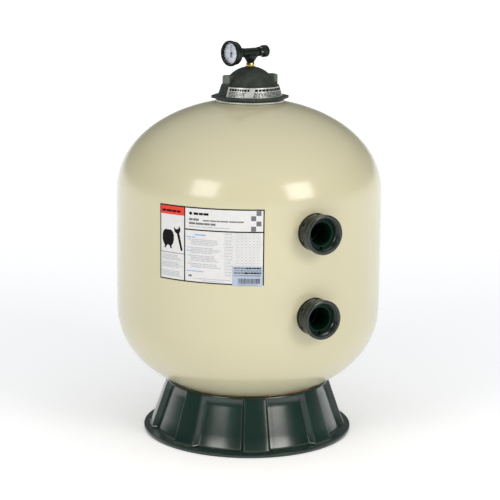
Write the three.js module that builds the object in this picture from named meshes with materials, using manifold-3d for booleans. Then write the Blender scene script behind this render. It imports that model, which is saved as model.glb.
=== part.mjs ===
// Side-mount sand filter tank for a swimming pool, in millimetres, +Z up.
// Origin: centre of the foot's underside. The two pipe ports face -Y, the drain faces +Y.
// An azimuth is measured from -Y towards +X, seen from above.
import * as THREE from "three";
import { mergeVertices } from "three/addons/utils/BufferGeometryUtils.js";
import Module from "manifold-3d";

const wasm = await Module();
wasm.setup();

// ---------- driving dimensions ----------
const GAP = 0.3; // left between touching pieces
const TURN = Math.PI * 2;
const ROUND = 36; // sides of a large round piece
const SMALL_ROUND = 20; // sides of a small round piece
const PORT_ROUND = 24; // sides of the port pieces, which fit inside each other

const TANK_R = 311; // outer radius of the barrel
const WALL = 6;
const LOWER_SPRING = 305; // height where the lower dome starts to curve in
const LOWER_RISE = 214;
const LOWER_POWER = 2.12; // 2 is an ellipse, more is squarer
const UPPER_SPRING = 580;
const UPPER_RISE = 213;
const UPPER_POWER = 2.04;
const LOWER_SEAM = 289;
const UPPER_SEAM = 592;

const FOOT_H = 127;
const FOOT_FLANGE_R = 249;
const FOOT_FLANGE_T = 9;
const PILASTERS = 8;
const PILASTER_FIRST = 22.5; // azimuth of the first one
const PILASTER_HALF = 7.2; // degrees
const PILASTER_DRAFT = 1.6; // degrees that each side wall leans out over
const PILASTER_PROUD = 13;
const PILASTER_R_BOTTOM = 233;
const PILASTER_R_TOP = 192;
const FOOT_WALL = 5;

const PORT_HEIGHTS = { lower: 342.5, upper: 533 };
const PORT_TIP = 354; // distance of the port's open face from the tank's axis
const PORT_R = 44.2;
const PORT_MOUTH_R = 35.6;
const PORT_MOUTH_DEPTH = 17;
const PORT_BORE_R = 26;
const TUBE_R = 36.5; // bulkhead tube through the wall
const WALL_HOLE_R = 38;
const PORT_FLANGE = { r: 50, back: 286, front: 292 }; // inner flange of the bulkhead tube
const LOCKNUT = { r: 41.2, back: 315.4, front: 326, notches: 6 };

const NECK_TOP = 791.5;
const NECK_FLANGE_R = 79.5;
const NECK_BORE_R = 64.4;
const NECK_TUBE_R = 71.5;
const NECK_BOTTOM = 745;

const THREAD = { pitch: 12, width: 4, turns: 2, core: 60.4, depth: 3 };
const THREAD_START = 750; // height where the neck's thread begins; the lid's runs half a pitch above it
const LID_FLANGE = { bottom: 794.6, top: 801, corner: 91 };
const LID_SKIRT = { bottomR: 75, topR: 67, top: 826.5 };
const LID_DOME = { r: 64, centre: 804, wall: 5 };
const LID_TOP = 868;
const LID_LUG = { foot: 60.5, bottom: 812, reach: 68, thick: 20, top: 849, corner: 4 };
const LID_PLUG_BOTTOM = 752;

const GAUGE_AZIMUTH = -75;
const VALVE_AXIS_Z = 900.5;
const GAUGE = { face: 67.5, back: 46, r: 29.5, caseR: 27, dialR: 24.4, pinHole: 1.9 };
const DIAL = { back: 57.6, front: 58.4 };
const NEEDLE = {
  back: 56.5, bladeBack: 60.6, bladeThick: 0.8, front: 62, pinR: 1.1, bossR: 2.6, reach: 19.5,
};
const STEM = { r: 2.6, tip: -39.2, end: -14 }; // relief valve's rod, along the valve's axis
const KNOB = { front: -50.5, floor: -39.6, back: -23, gripR: 14, neckR: 11, bore: 7.6, flutes: 8 };

const PIPE = { outer: 25, inner: 21.5, start: 285.6 }; // start: where both pipes leave their bulkheads
const ELBOW = { r: 30, bend: 34, socket: 20 }; // bend: radius of the pipe's middle line
const DIFFUSER = { y: -118, bottom: 640, r: 58, top: 700 };
const AIR_TUBE = { x: 64, r: 5, bore: 3, top: 716 };

const HUB_Z = 172;
const LATERALS = 8;
const LATERAL_FIRST = 22.5;
const LATERAL_PIVOT_R = 46;
const LATERAL_TIP = 214;
const LATERAL_R = 9.5;
const LATERAL_PIN_R = 2.6;

const DRAIN_Z = 196;
const DRAIN_TIP = 345;
const DRAIN = { wallHole: 19, tube: 17, bore: 12, capR: 25, washerR: 27, collarTop: 301, mouth: 331 };

const INSTRUCTIONS = { low: 419.5, high: 588, from: -66.9, to: -21.7, thick: 0.4 };
const LID_SHEET = { from: -75, to: 78, thick: 0.3 };

// ---------- geometry helpers ----------
const radians = (degrees) => (degrees * Math.PI) / 180;

/** A closed BufferGeometry with merged corners and faces that point out. */
function closed(geometry) {
  const g = new THREE.BufferGeometry();
  g.setAttribute("position", geometry.getAttribute("position"));
  g.setIndex(geometry.index);
  const merged = mergeVertices(g, 1e-3);
  const p = merged.attributes.position;
  const index = merged.index.array;
  const kept = [];
  let volume = 0;
  const [a, b, c] = [new THREE.Vector3(), new THREE.Vector3(), new THREE.Vector3()];
  for (let i = 0; i < index.length; i += 3) {
    const [ia, ib, ic] = [index[i], index[i + 1], index[i + 2]];
    if (ia === ib || ib === ic || ic === ia) continue;
    kept.push(ia, ib, ic);
    a.fromBufferAttribute(p, ia);
    b.fromBufferAttribute(p, ib);
    c.fromBufferAttribute(p, ic);
    volume += a.dot(b.cross(c)) / 6;
  }
  if (volume < 0) for (let i = 0; i < kept.length; i += 3) [kept[i], kept[i + 1]] = [kept[i + 1], kept[i]];
  merged.setIndex(kept);
  return merged;
}

function solid(geometry) {
  const g = closed(geometry);
  return new wasm.Manifold(
    new wasm.Mesh({
      numProp: 3,
      vertProperties: new Float32Array(g.attributes.position.array),
      triVerts: new Uint32Array(g.index.array),
    }),
  );
}

function geometryOf(manifold) {
  const m = manifold.getMesh();
  const position = new Float32Array(m.numVert * 3);
  for (let i = 0; i < m.numVert; i++) {
    position.set(m.vertProperties.subarray(i * m.numProp, i * m.numProp + 3), i * 3);
  }
  const g = new THREE.BufferGeometry().setAttribute("position", new THREE.BufferAttribute(position, 3));
  g.setIndex(new THREE.BufferAttribute(new Uint32Array(m.triVerts), 1));
  return g;
}

/** Turns a closed outline of [radius, height] pairs about Z. */
function revolve(outline, sides = ROUND) {
  const points = [...outline, outline[0]].map(([r, z]) => new THREE.Vector2(r, z));
  return new THREE.LatheGeometry(points, sides).rotateX(Math.PI / 2);
}

const ring = (inner, outer, low, high, sides = ROUND) =>
  revolve([[inner, low], [outer, low], [outer, high], [inner, high]], sides);

const disc = (r, low, high, sides = ROUND) => revolve([[0, low], [r, low], [r, high], [0, high]], sides);

const box = (x0, x1, y0, y1, z0, z1) =>
  new THREE.BoxGeometry(x1 - x0, y1 - y0, z1 - z0).translate((x0 + x1) / 2, (y0 + y1) / 2, (z0 + z1) / 2);

/** A point at an azimuth, a distance from the axis and a height. */
function polar(azimuth, r, z) {
  const a = radians(azimuth);
  return [r * Math.sin(a), -r * Math.cos(a), z];
}

/** Joins equal loops of points into a closed skin: the last one meets the first, or both ends are capped. */
function loft(loops, capped = false) {
  const n = loops[0].length;
  const index = [];
  for (let i = 0; i < loops.length - (capped ? 1 : 0); i++) {
    const next = ((i + 1) % loops.length) * n;
    for (let k = 0; k < n; k++) {
      const [a, b, c, d] = [i * n + k, i * n + ((k + 1) % n), next + ((k + 1) % n), next + k];
      index.push(a, b, c, a, c, d);
    }
  }
  if (capped) {
    const last = (loops.length - 1) * n;
    for (let k = 1; k < n - 1; k++) index.push(0, k + 1, k, last, last + k, last + k + 1);
  }
  const g = new THREE.BufferGeometry();
  g.setAttribute("position", new THREE.Float32BufferAttribute(loops.flat(2), 3));
  g.setIndex(index);
  return g;
}

/** Height over the spring line, or below it, of a dome at a radius. */
const domeHeight = (r, radius, rise, power) => rise * (1 - (r / radius) ** power) ** (1 / power);

/** [radius, height] points of a dome from one radius to another, evenly spread along the curve. */
function domeArc(from, to, radius, rise, power, spring, up, steps) {
  const angle = (r) => Math.acos(Math.min(1, (r / radius) ** (power / 2)));
  const [a0, a1] = [angle(from), angle(to)];
  return Array.from({ length: steps + 1 }, (_, i) => {
    const a = a0 + ((a1 - a0) * i) / steps;
    const r = radius * Math.cos(a) ** (2 / power);
    const z = rise * Math.sin(a) ** (2 / power);
    return [r, spring + (up ? z : -z)];
  });
}

/** A screw thread's ridge: a buttress section swept up a helix, thinned out at both ends. */
function threadRidge({ radius, depth, pitch, width, turns, start, inward = false }) {
  const perTurn = 24;
  const [buried, sunk, fade] = [1.5, 0.4, 4];
  const steps = turns * perTurn;
  const sign = inward ? -1 : 1;
  const loops = [];
  for (let i = 0; i <= steps; i++) {
    const ease = Math.min(1, i / fade, (steps - i) / fade);
    const root = radius - sign * buried;
    const crest = radius + sign * (depth * ease - sunk * (1 - ease));
    const z = start + (pitch * i) / perTurn;
    const [c, s] = [Math.cos((i / perTurn) * TURN), Math.sin((i / perTurn) * TURN)];
    const section = [
      [root, z - width / 2],
      [crest, z - width / 4],
      [crest, z + width / 2],
      [root, z + width / 2],
    ];
    loops.push(section.map(([r, h]) => [r * c, r * s, h]));
  }
  return loft(loops, true);
}

// ---------- scene ----------
const filter = new THREE.Group();

const LOOKS = {
  tank: { color: 0xd9d0b0, roughness: 0.3, metalness: 0 },
  foot: { color: 0x0c1512, roughness: 0.25, metalness: 0 },
  black: { color: 0x14181a, roughness: 0.35, metalness: 0 },
  lid: { color: 0x232725, roughness: 0.6, metalness: 0 },
  neck: { color: 0xdfe4e2, roughness: 0.35, metalness: 0 },
  rubber: { color: 0x101010, roughness: 0.8, metalness: 0 },
  brass: { color: 0xc9a34a, roughness: 0.3, metalness: 1 },
  pipe: { color: 0xe6e6e0, roughness: 0.4, metalness: 0 },
  label: { color: 0xf2f2f2, roughness: 0.4, metalness: 0 },
  foil: { color: 0xc8cccc, roughness: 0.3, metalness: 0.6 },
  resin: { color: 0xb98a45, roughness: 0.4, metalness: 0 },
  glass: { color: 0xdfe8ea, roughness: 0.05, metalness: 0 },
  needle: { color: 0x151515, roughness: 0.4, metalness: 0 },
};

function add(name, geometry, look, parent = filter) {
  const mesh = new THREE.Mesh(geometry, new THREE.MeshStandardMaterial(LOOKS[look]));
  mesh.name = name;
  parent.add(mesh);
  return mesh;
}

/** A group whose local +Z points out level from the axis at an azimuth, and local +Y points up. */
function facing(azimuth, height) {
  const group = new THREE.Group();
  group.rotation.set(Math.PI / 2, 0, radians(azimuth), "ZXY");
  group.position.z = height;
  filter.add(group);
  return group;
}

/** A solid made in a facing() frame, turned into the part's own frame. */
function faced(manifold, azimuth, height) {
  return manifold.rotate([90, 0, 0]).rotate([0, 0, azimuth]).translate([0, 0, height]);
}

// ---------- tank shell: two domes and the barrel between them ----------
/** Radius of a dome's wall at a height. */
const domeRadius = (z, radius, spring, rise, power) =>
  radius * (1 - (Math.abs(z - spring) / rise) ** power) ** (1 / power);

const lowerRadius = (z, moved = 0) =>
  domeRadius(z, TANK_R - moved, LOWER_SPRING, LOWER_RISE - moved, LOWER_POWER);

const upperRadius = (z, moved = 0) =>
  domeRadius(z, TANK_R - moved, UPPER_SPRING, UPPER_RISE - moved, UPPER_POWER);

/** The lower dome's curve from the seam in to the axis, moved in by a distance. */
function lowerCurve(moved) {
  const from = lowerRadius(LOWER_SEAM - GAP / 2, moved);
  return domeArc(from, 0, TANK_R - moved, LOWER_RISE - moved, LOWER_POWER, LOWER_SPRING, false, 7);
}

function upperCurve(moved) {
  const from = upperRadius(UPPER_SEAM + GAP / 2, moved);
  const hole = NECK_TUBE_R + GAP;
  return domeArc(from, hole, TANK_R - moved, UPPER_RISE - moved, UPPER_POWER, UPPER_SPRING, true, 6);
}

function barrelCurve(moved) {
  const [low, high] = [LOWER_SEAM + GAP / 2, UPPER_SEAM - GAP / 2];
  return [
    [lowerRadius(low, moved), low],
    [TANK_R - moved, LOWER_SPRING],
    [TANK_R - moved, UPPER_SPRING],
    [upperRadius(high, moved), high],
  ];
}

const shell = (curve) => revolve([...curve(0), ...curve(WALL).reverse()]);

/** A round cutter that passes through the tank's wall at an azimuth. */
const wallDrill = (r, azimuth, height) =>
  faced(solid(disc(r, TANK_R / 2, TANK_R + 20, SMALL_ROUND)), azimuth, height);

function lowerDome() {
  const drainHole = wallDrill(DRAIN.wallHole, 180, DRAIN_Z);
  return geometryOf(solid(shell(lowerCurve)).subtract(drainHole));
}

function barrel() {
  let wall = solid(shell(barrelCurve));
  for (const height of Object.values(PORT_HEIGHTS)) wall = wall.subtract(wallDrill(WALL_HOLE_R, 0, height));
  return geometryOf(wall);
}

/** Moulded insert bonded into the top opening, with the internal thread for the lid. */
function neckRing() {
  const threadDepth = 2.7;
  const seat = UPPER_SPRING + domeHeight(NECK_TUBE_R, TANK_R, UPPER_RISE, UPPER_POWER) + GAP;
  const body = solid(
    revolve([
      [NECK_BORE_R, NECK_BOTTOM],
      [NECK_TUBE_R, NECK_BOTTOM],
      [NECK_TUBE_R, seat],
      [NECK_FLANGE_R, seat],
      [NECK_FLANGE_R, NECK_TOP],
      [NECK_BORE_R, NECK_TOP],
    ]),
  );
  const ridge = solid(
    threadRidge({ ...THREAD, radius: NECK_BORE_R, depth: threadDepth, start: THREAD_START, inward: true }),
  );
  return geometryOf(body.add(ridge));
}

// ---------- foot ----------
/** [azimuth, on a pilaster] of the points round the foot, with recessed panels between proud pilasters. */
function footPoints() {
  const points = [];
  const pitch = 360 / PILASTERS;
  const foot = PILASTER_HALF + PILASTER_DRAFT;
  const panelSteps = 4;
  for (let i = 0; i < PILASTERS; i++) {
    const centre = PILASTER_FIRST + i * pitch;
    for (const side of [-1, 0, 1]) points.push([centre + side * PILASTER_HALF, true]);
    for (let k = 0; k <= panelSteps; k++) {
      points.push([centre + foot + ((pitch - 2 * foot) * k) / panelSteps, false]);
    }
  }
  return points;
}

function footSkirt() {
  const points = footPoints();
  const circle = (r, z) => points.map(([azimuth]) => polar(azimuth, r, z));
  const wall = (r, z) => points.map(([azimuth, proud]) => polar(azimuth, proud ? r : r - PILASTER_PROUD, z));
  const [panelBottom, panelTop] = [PILASTER_R_BOTTOM - PILASTER_PROUD, PILASTER_R_TOP - PILASTER_PROUD];
  const chamfer = 2;
  const ringWidth = 34;
  return loft([
    circle(FOOT_FLANGE_R - ringWidth, 0),
    circle(FOOT_FLANGE_R - chamfer, 0),
    circle(FOOT_FLANGE_R, chamfer),
    circle(FOOT_FLANGE_R, FOOT_FLANGE_T - chamfer),
    circle(FOOT_FLANGE_R - chamfer, FOOT_FLANGE_T),
    wall(PILASTER_R_BOTTOM, FOOT_FLANGE_T),
    wall(PILASTER_R_TOP + 3, FOOT_H - 3),
    circle(PILASTER_R_TOP - 1, FOOT_H),
    circle(PILASTER_R_TOP - 6, FOOT_H),
    circle(panelTop + 2.4, FOOT_H - 12),
    circle(panelBottom - FOOT_WALL, FOOT_FLANGE_T + 2),
  ]);
}

/** Bead of bonding resin in the corner between the foot's rim and the lower dome. */
function bondingBead() {
  const [low, high] = [FOOT_H + GAP, FOOT_H + 2.6];
  return revolve([
    [lowerRadius(low) + 1.4, low],
    [PILASTER_R_TOP - 2.5, low],
    [lowerRadius(high) + 1, high],
  ]);
}

// ---------- pipe ports ----------
/** A flat-backed washer whose other face follows the tank's wall. */
function saddle(inner, outer, low, high, wallR, outside) {
  const blank = faced(solid(ring(inner, outer, low, high, PORT_ROUND)), 0, 0);
  const wall = solid(disc(wallR, -outer - 10, outer + 10));
  return geometryOf(outside ? blank.subtract(wall) : blank.intersect(wall));
}

function portTube(shelf) {
  const { r, back, front } = PORT_FLANGE;
  const outline = [
    [PORT_BORE_R, back],
    [r, back],
    [r, front],
    [TUBE_R, front],
    [TUBE_R, shelf],
    [PORT_BORE_R, shelf],
  ];
  return revolve(outline, PORT_ROUND);
}

/** Open threaded end with a groove behind its rim. */
function portAdapter(shelf) {
  const [skirtR, grooveR, back, edge] = [42, 39.6, 328, 1.5];
  const inner = TUBE_R + GAP;
  const outline = [
    [inner, back],
    [skirtR, back],
    [skirtR, back + 7.5],
    [grooveR, back + 8.5],
    [grooveR, back + 11.5],
    [PORT_R, back + 13],
    [PORT_R, PORT_TIP - edge],
    [PORT_R - edge, PORT_TIP],
    [PORT_MOUTH_R + 1.2, PORT_TIP],
    [PORT_MOUTH_R, PORT_TIP - edge],
    [PORT_MOUTH_R, shelf + GAP],
    [inner, shelf + GAP],
  ];
  return revolve(outline, PORT_ROUND);
}

function locknut() {
  const { r, back, front, notches } = LOCKNUT;
  const [half, deep] = [4, 1.8];
  let nut = solid(ring(TUBE_R + GAP, r, back, front, PORT_ROUND));
  for (let i = 0; i < notches; i++) {
    const notch = solid(box(-half, half, r - deep, r + deep, back - 1, front + 1));
    nut = nut.subtract(notch.rotate([0, 0, (i * 360) / notches]));
  }
  return geometryOf(nut);
}

function portPieces(which) {
  const z = PORT_HEIGHTS[which];
  const port = facing(0, z);
  const shelf = PORT_TIP - PORT_MOUTH_DEPTH;
  const hole = TUBE_R + GAP;
  const flangeFront = PORT_FLANGE.front + GAP;
  add(which + "_bulkhead", portTube(shelf), "black", port);
  add(which + "_port_adapter", portAdapter(shelf), "black", port);
  add(which + "_locknut", locknut(), "black", port);
  const washer = saddle(hole, 42.5, TANK_R - 21, LOCKNUT.back - 0.4, TANK_R + GAP, true);
  add(which + "_outer_washer", washer, "rubber").position.z = z;
  const gasket = saddle(hole, 44, flangeFront, TANK_R + 9, TANK_R - WALL - 2 * GAP, false);
  add(which + "_inner_gasket", gasket, "rubber").position.z = z;
}

// ---------- inside the tank ----------
/** A round bar along +Y that turns up or down in a quarter bend and is straight at both ends. */
function bentBar(r, y, z, down, reach) {
  const { bend } = ELBOW;
  const [sides, steps] = [24, 6];
  const station = (angle, along) => {
    const [c, s] = [Math.cos(angle), Math.sin(angle)];
    const middle = [y - bend + bend * s + along * c, z + down * (bend * (1 - c) + along * s)];
    return Array.from({ length: sides }, (_, k) => {
      const [across, up] = [r * Math.cos((k / sides) * TURN), r * Math.sin((k / sides) * TURN)];
      return [across, middle[0] - down * s * up, middle[1] + c * up];
    });
  };
  const loops = [station(0, -reach)];
  for (let i = 0; i <= steps; i++) loops.push(station((i / steps) * (Math.PI / 2), 0));
  loops.push(station(Math.PI / 2, reach));
  return solid(loft(loops, true));
}

/** Elbow fitting with a socket at each end for a pipe. */
function elbow(y, z, down) {
  const { r, bend, socket } = ELBOW;
  const bore = PIPE.outer + GAP;
  const level = solid(disc(bore, 0, socket + 1, 24)).rotate([90, 0, 0]).translate([0, y - bend, z]);
  const upright = solid(disc(bore, 0, socket + 1, 24))
    .rotate([down > 0 ? 0 : 180, 0, 0])
    .translate([0, y, z + down * bend]);
  const hollow = bentBar(PIPE.inner, y, z, down, socket / 2).add(level).add(upright);
  return geometryOf(bentBar(r, y, z, down, socket).subtract(hollow));
}

/** Level pipe, elbow and riser from one port to a point over or under the bend. */
function pipeRun(which, y, z, endZ) {
  const down = Math.sign(endZ - z);
  const straight = ring(PIPE.inner, PIPE.outer, -(y - ELBOW.bend - GAP), PIPE.start, 24);
  add(which + "_pipe", straight, "black", facing(0, z));
  add(which + "_elbow", elbow(y, z, down), "pipe");
  const ends = [z + down * (ELBOW.bend + GAP), endZ];
  const riser = ring(PIPE.inner, PIPE.outer, Math.min(...ends), Math.max(...ends), 24);
  add(which + "_riser", riser.translate(0, y, 0), "pipe");
}

/** Upside-down cup over the inlet riser, with slots round its wall that spread the water. */
function diffuser() {
  const { y, bottom, r, top } = DIFFUSER;
  const socket = PIPE.outer + GAP;
  const wall = 4;
  const outline = [
    [socket, bottom],
    [40, bottom],
    [r, top - 22],
    [r, top],
    [0, top + 6],
    [0, top + 2],
    [r - wall, top - 3],
    [r - wall, top - 21],
    [38, bottom + wall],
    [socket, bottom + wall],
  ];
  let cup = solid(revolve(outline, 24));
  const slots = 12;
  for (let i = 0; i < slots; i++) {
    const slot = solid(box(-5, 5, r - 10, r + 5, top - 17, top - 8));
    cup = cup.subtract(slot.rotate([0, 0, (i * 360) / slots]));
  }
  return geometryOf(cup.translate([0, y, 0]));
}

/** Hub under the outlet riser, with a pair of ears and a pin for each lateral. */
function lateralHub() {
  const pipeSocket = PIPE.outer + GAP;
  const [hubR, half, neckTop, seat, floor] = [34, 16, 34, 12, -10];
  let hub = solid(
    revolve([
      [0, HUB_Z - half],
      [hubR, HUB_Z - half],
      [hubR, HUB_Z + half],
      [hubR - 2, HUB_Z + neckTop],
      [pipeSocket, HUB_Z + neckTop],
      [pipeSocket, HUB_Z + seat],
      [PIPE.inner, HUB_Z + seat],
      [PIPE.inner, HUB_Z + floor],
      [0, HUB_Z + floor],
    ], 24),
  );
  const [earInside, earThick, earHalf, waterway] = [LATERAL_R + 0.6, 2.6, 8, 4];
  for (let i = 0; i < LATERALS; i++) {
    const azimuth = LATERAL_FIRST + (i * 360) / LATERALS;
    for (const near of [-earInside - earThick, earInside]) {
      const outerEnd = -LATERAL_PIVOT_R - 7;
      const ear = solid(box(near, near + earThick, outerEnd, -30, HUB_Z - earHalf, HUB_Z + earHalf));
      hub = hub.add(ear.rotate([0, 0, azimuth]));
    }
    const pin = solid(disc(LATERAL_PIN_R, -earInside - 2, earInside + 2, 8))
      .rotate([0, 90, 0])
      .translate([0, -LATERAL_PIVOT_R, HUB_Z]);
    const drilled = faced(solid(disc(waterway, 0, hubR + 1, 8)), 0, HUB_Z);
    hub = hub.add(pin.rotate([0, 0, azimuth])).subtract(drilled.rotate([0, 0, azimuth]));
  }
  return geometryOf(hub);
}

/** A slotted collector arm with a round heel that turns on the hub's pin. */
function lateral(azimuth) {
  const crossways = (r, half, sides) =>
    solid(disc(r, -half, half, sides)).rotate([0, 90, 0]).translate([0, -LATERAL_PIVOT_R, 0]);
  let arm = solid(disc(LATERAL_R, LATERAL_PIVOT_R, LATERAL_TIP, 12))
    .rotate([90, 0, 0])
    .add(crossways(LATERAL_R, LATERAL_R, 12))
    .subtract(crossways(LATERAL_PIN_R + 0.4, 2 * LATERAL_R, 8));
  const [slots, firstSlot, pitch, slotHalf] = [5, 32, 28, 1.2];
  for (let i = 0; i < slots; i++) {
    const y = -LATERAL_PIVOT_R - firstSlot - i * pitch;
    const slot = box(-20, 20, y - slotHalf, y + slotHalf, -LATERAL_R - 1, -LATERAL_R / 2);
    arm = arm.subtract(solid(slot));
  }
  return geometryOf(arm.rotate([0, 0, azimuth]).translate([0, 0, HUB_Z]));
}

/** Clip on the outlet riser that holds the air tube. */
function tubeClip() {
  const [low, high] = [HUB_Z + 70, HUB_Z + 80];
  const { x, r } = AIR_TUBE;
  const hold = solid(disc(r + 4, low, high, 12)).translate([x, 0, 0]);
  const hole = solid(disc(r + GAP, low - 10, high + 10, 12)).translate([x, 0, 0]);
  const arm = solid(box(PIPE.outer + 2, x - 4, -4, 4, low, high));
  const band = solid(ring(PIPE.outer + GAP, PIPE.outer + 4, low, high, 24));
  return geometryOf(band.add(arm).add(hold).subtract(hole));
}

function insides() {
  pipeRun("inlet", DIFFUSER.y, PORT_HEIGHTS.upper, DIFFUSER.bottom + 26);
  pipeRun("outlet", 0, PORT_HEIGHTS.lower, HUB_Z + 12.4);
  add("diffuser", diffuser(), "pipe");
  add("lateral_hub", lateralHub(), "black");
  for (let i = 0; i < LATERALS; i++) {
    add("lateral_" + (i + 1), lateral(LATERAL_FIRST + (i * 360) / LATERALS), "pipe");
  }
  const { x, r, bore, top } = AIR_TUBE;
  add("air_bleed_tube", ring(bore, r, HUB_Z + 60, top, 12).translate(x, 0, 0), "black");
  add("air_strainer", disc(9, top + GAP, top + 22, 16).translate(x, 0, 0), "pipe");
  add("tube_clip", tubeClip(), "black");
}

// ---------- drain ----------
/** Screw cap with finger grooves and a blind hole that runs over the spigot. */
function drainCap() {
  const { tube, capR, collarTop, mouth } = DRAIN;
  const hole = tube + 0.6;
  const blind = mouth + 2.8;
  const edge = 2;
  const outline = [
    [0, blind],
    [hole, blind],
    [hole, collarTop + 1],
    [capR, collarTop + 1],
    [capR, DRAIN_TIP - edge],
    [capR - edge, DRAIN_TIP],
    [0, DRAIN_TIP],
  ];
  let cap = solid(revolve(outline, SMALL_ROUND));
  const grooves = 8;
  for (let i = 0; i < grooves; i++) {
    const groove = solid(box(-2, 2, capR - 1.6, capR + 2, collarTop, DRAIN_TIP - 4));
    cap = cap.subtract(groove.rotate([0, 0, (i * 360) / grooves]));
  }
  return geometryOf(cap);
}

function drain() {
  const out = facing(180, DRAIN_Z);
  const { bore, tube, washerR, collarTop, mouth } = DRAIN;
  const inside = 238;
  const tank = (moved) => solid(revolve([...lowerCurve(moved), [0, LOWER_SPRING], [TANK_R, LOWER_SPRING]]));
  const washer = (low, high) => {
    const flat = solid(ring(tube + GAP, washerR, low, high, SMALL_ROUND));
    return faced(flat, 180, DRAIN_Z);
  };
  add("drain_spigot", ring(bore, tube, inside - 2, mouth, SMALL_ROUND), "black", out);
  add("drain_collar", geometryOf(washer(inside + 2, collarTop).subtract(tank(-GAP))), "black");
  add("drain_gasket", geometryOf(washer(inside, collarTop).intersect(tank(WALL + GAP))), "rubber");
  add("drain_cap_seal", ring(bore + 0.5, tube, mouth + GAP, mouth + 2.5, SMALL_ROUND), "rubber", out);
  add("drain_cap", drainCap(), "black", out);
}

// ---------- lid ----------
function lid() {
  const { r, centre, wall } = LID_DOME;
  const arc = (radius, from, to, steps) =>
    Array.from({ length: steps + 1 }, (_, i) => {
      const a = from + ((to - from) * i) / steps;
      return [radius * Math.cos(a), centre + radius * Math.sin(a)];
    });
  const bossR = 12;
  const shoulder = Math.asin((LID_SKIRT.top - centre) / r);
  const crown = Math.acos(bossR / r);
  const inner = r - wall;
  const plugBore = 54;
  const bossHoleR = 7;
  let body = solid(
    revolve([
      [plugBore, LID_PLUG_BOTTOM],
      [THREAD.core, LID_PLUG_BOTTOM],
      [THREAD.core, LID_FLANGE.bottom],
      [LID_SKIRT.bottomR, LID_FLANGE.bottom],
      [LID_SKIRT.bottomR, LID_FLANGE.top],
      [LID_SKIRT.topR, LID_SKIRT.top - 1],
      [LID_SKIRT.topR - 1.5, LID_SKIRT.top],
      ...arc(r, shoulder, crown, 5),
      [bossR, LID_TOP],
      [0, LID_TOP],
      ...arc(inner, Math.PI / 2, Math.acos(plugBore / inner), 4),
    ]),
  );
  const flange = new THREE.CylinderGeometry(
    LID_FLANGE.corner, LID_FLANGE.corner - 1, LID_FLANGE.top - LID_FLANGE.bottom, 8, 1, false, radians(22.5),
  )
    .rotateX(Math.PI / 2)
    .translate(0, 0, (LID_FLANGE.top + LID_FLANGE.bottom) / 2);
  const opening = solid(disc(plugBore + 2, LID_FLANGE.bottom - 5, LID_FLANGE.top + 5));
  body = body.add(solid(flange).subtract(opening));
  for (const turned of [0, 180]) body = body.add(lidLug().rotate([0, 0, turned]));
  const ridge = threadRidge({ ...THREAD, radius: THREAD.core, start: THREAD_START + THREAD.pitch / 2 });
  body = body.add(solid(ridge));
  return geometryOf(body.subtract(solid(disc(bossHoleR, LID_TOP - 28, LID_TOP + 12, 16))));
}

/** One of the two lugs that a bar turns the lid by: its inner edge is buried in the dome's wall. */
function lidLug() {
  const { foot, bottom, reach, thick, top, corner } = LID_LUG;
  const outline = new THREE.Shape([new THREE.Vector2(foot, bottom), new THREE.Vector2(reach, bottom)]);
  outline.lineTo(reach, top - corner);
  outline.absarc(reach - corner, top - corner, corner, 0, Math.PI / 2, false);
  outline.lineTo(42, top);
  outline.lineTo(50, 840);
  outline.lineTo(56, 829);
  return solid(new THREE.ExtrudeGeometry(outline, { depth: thick, bevelEnabled: false, curveSegments: 3 }))
    .rotate([90, 0, 0])
    .translate([0, thick / 2, 0]);
}

/** A printed sheet wrapped on a cone: bottomR at the lower edge, topR at the upper one. */
function wrappedSheet(bottomR, topR, low, high, { from, to, thick }, steps) {
  const loops = [];
  for (let i = 0; i <= steps; i++) {
    const azimuth = from + ((to - from) * i) / steps;
    const section = [
      [bottomR, low],
      [bottomR + thick, low],
      [topR + thick, high],
      [topR, high],
    ];
    loops.push(section.map(([r, z]) => polar(azimuth, r, z)));
  }
  return closed(loft(loops, true));
}

function labels() {
  const wallR = TANK_R + GAP;
  const { low, high } = INSTRUCTIONS;
  add("instruction_label", wrappedSheet(wallR, wallR, low, high, INSTRUCTIONS, 10), "label");
  const { bottomR, topR, top } = LID_SKIRT;
  const lean = (z) => bottomR + ((topR - bottomR) * (z - LID_FLANGE.top)) / (top - 1 - LID_FLANGE.top) + GAP;
  const [bottomZ, topZ] = [LID_FLANGE.top + 1, top - 2.5];
  add("lid_label", wrappedSheet(lean(bottomZ), lean(topZ), bottomZ, topZ, LID_SHEET, 17), "foil");
}

const ADAPTER = { hexR: 10.6, hexH: 7.6, stemR: 6.4, bore: 3.4, bottom: 848, top: 884 };

/** Hexagonal brass adapter that passes through the lid's boss and up into the valve. */
function brassAdapter() {
  const { hexR, hexH, stemR, bore, bottom, top } = ADAPTER;
  const hexagon = new THREE.CylinderGeometry(hexR - 1.2, hexR, hexH, 6).rotateX(Math.PI / 2);
  return geometryOf(
    solid(hexagon)
      .translate([0, 0, LID_TOP + GAP + hexH / 2])
      .add(solid(disc(stemR, bottom, top, 16)))
      .subtract(solid(disc(bore, bottom - 8, top + 6, 12))),
  );
}

function lidGroup() {
  const [ringR, ringHalf] = [70, 1.35];
  const seal = new THREE.TorusGeometry(ringR, ringHalf, 6, 32);
  add("closure_oring", seal.translate(0, 0, (NECK_TOP + LID_FLANGE.bottom) / 2), "rubber");
  add("closure_lid", lid(), "lid");
  add("brass_adapter", brassAdapter(), "brass");
}

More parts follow.
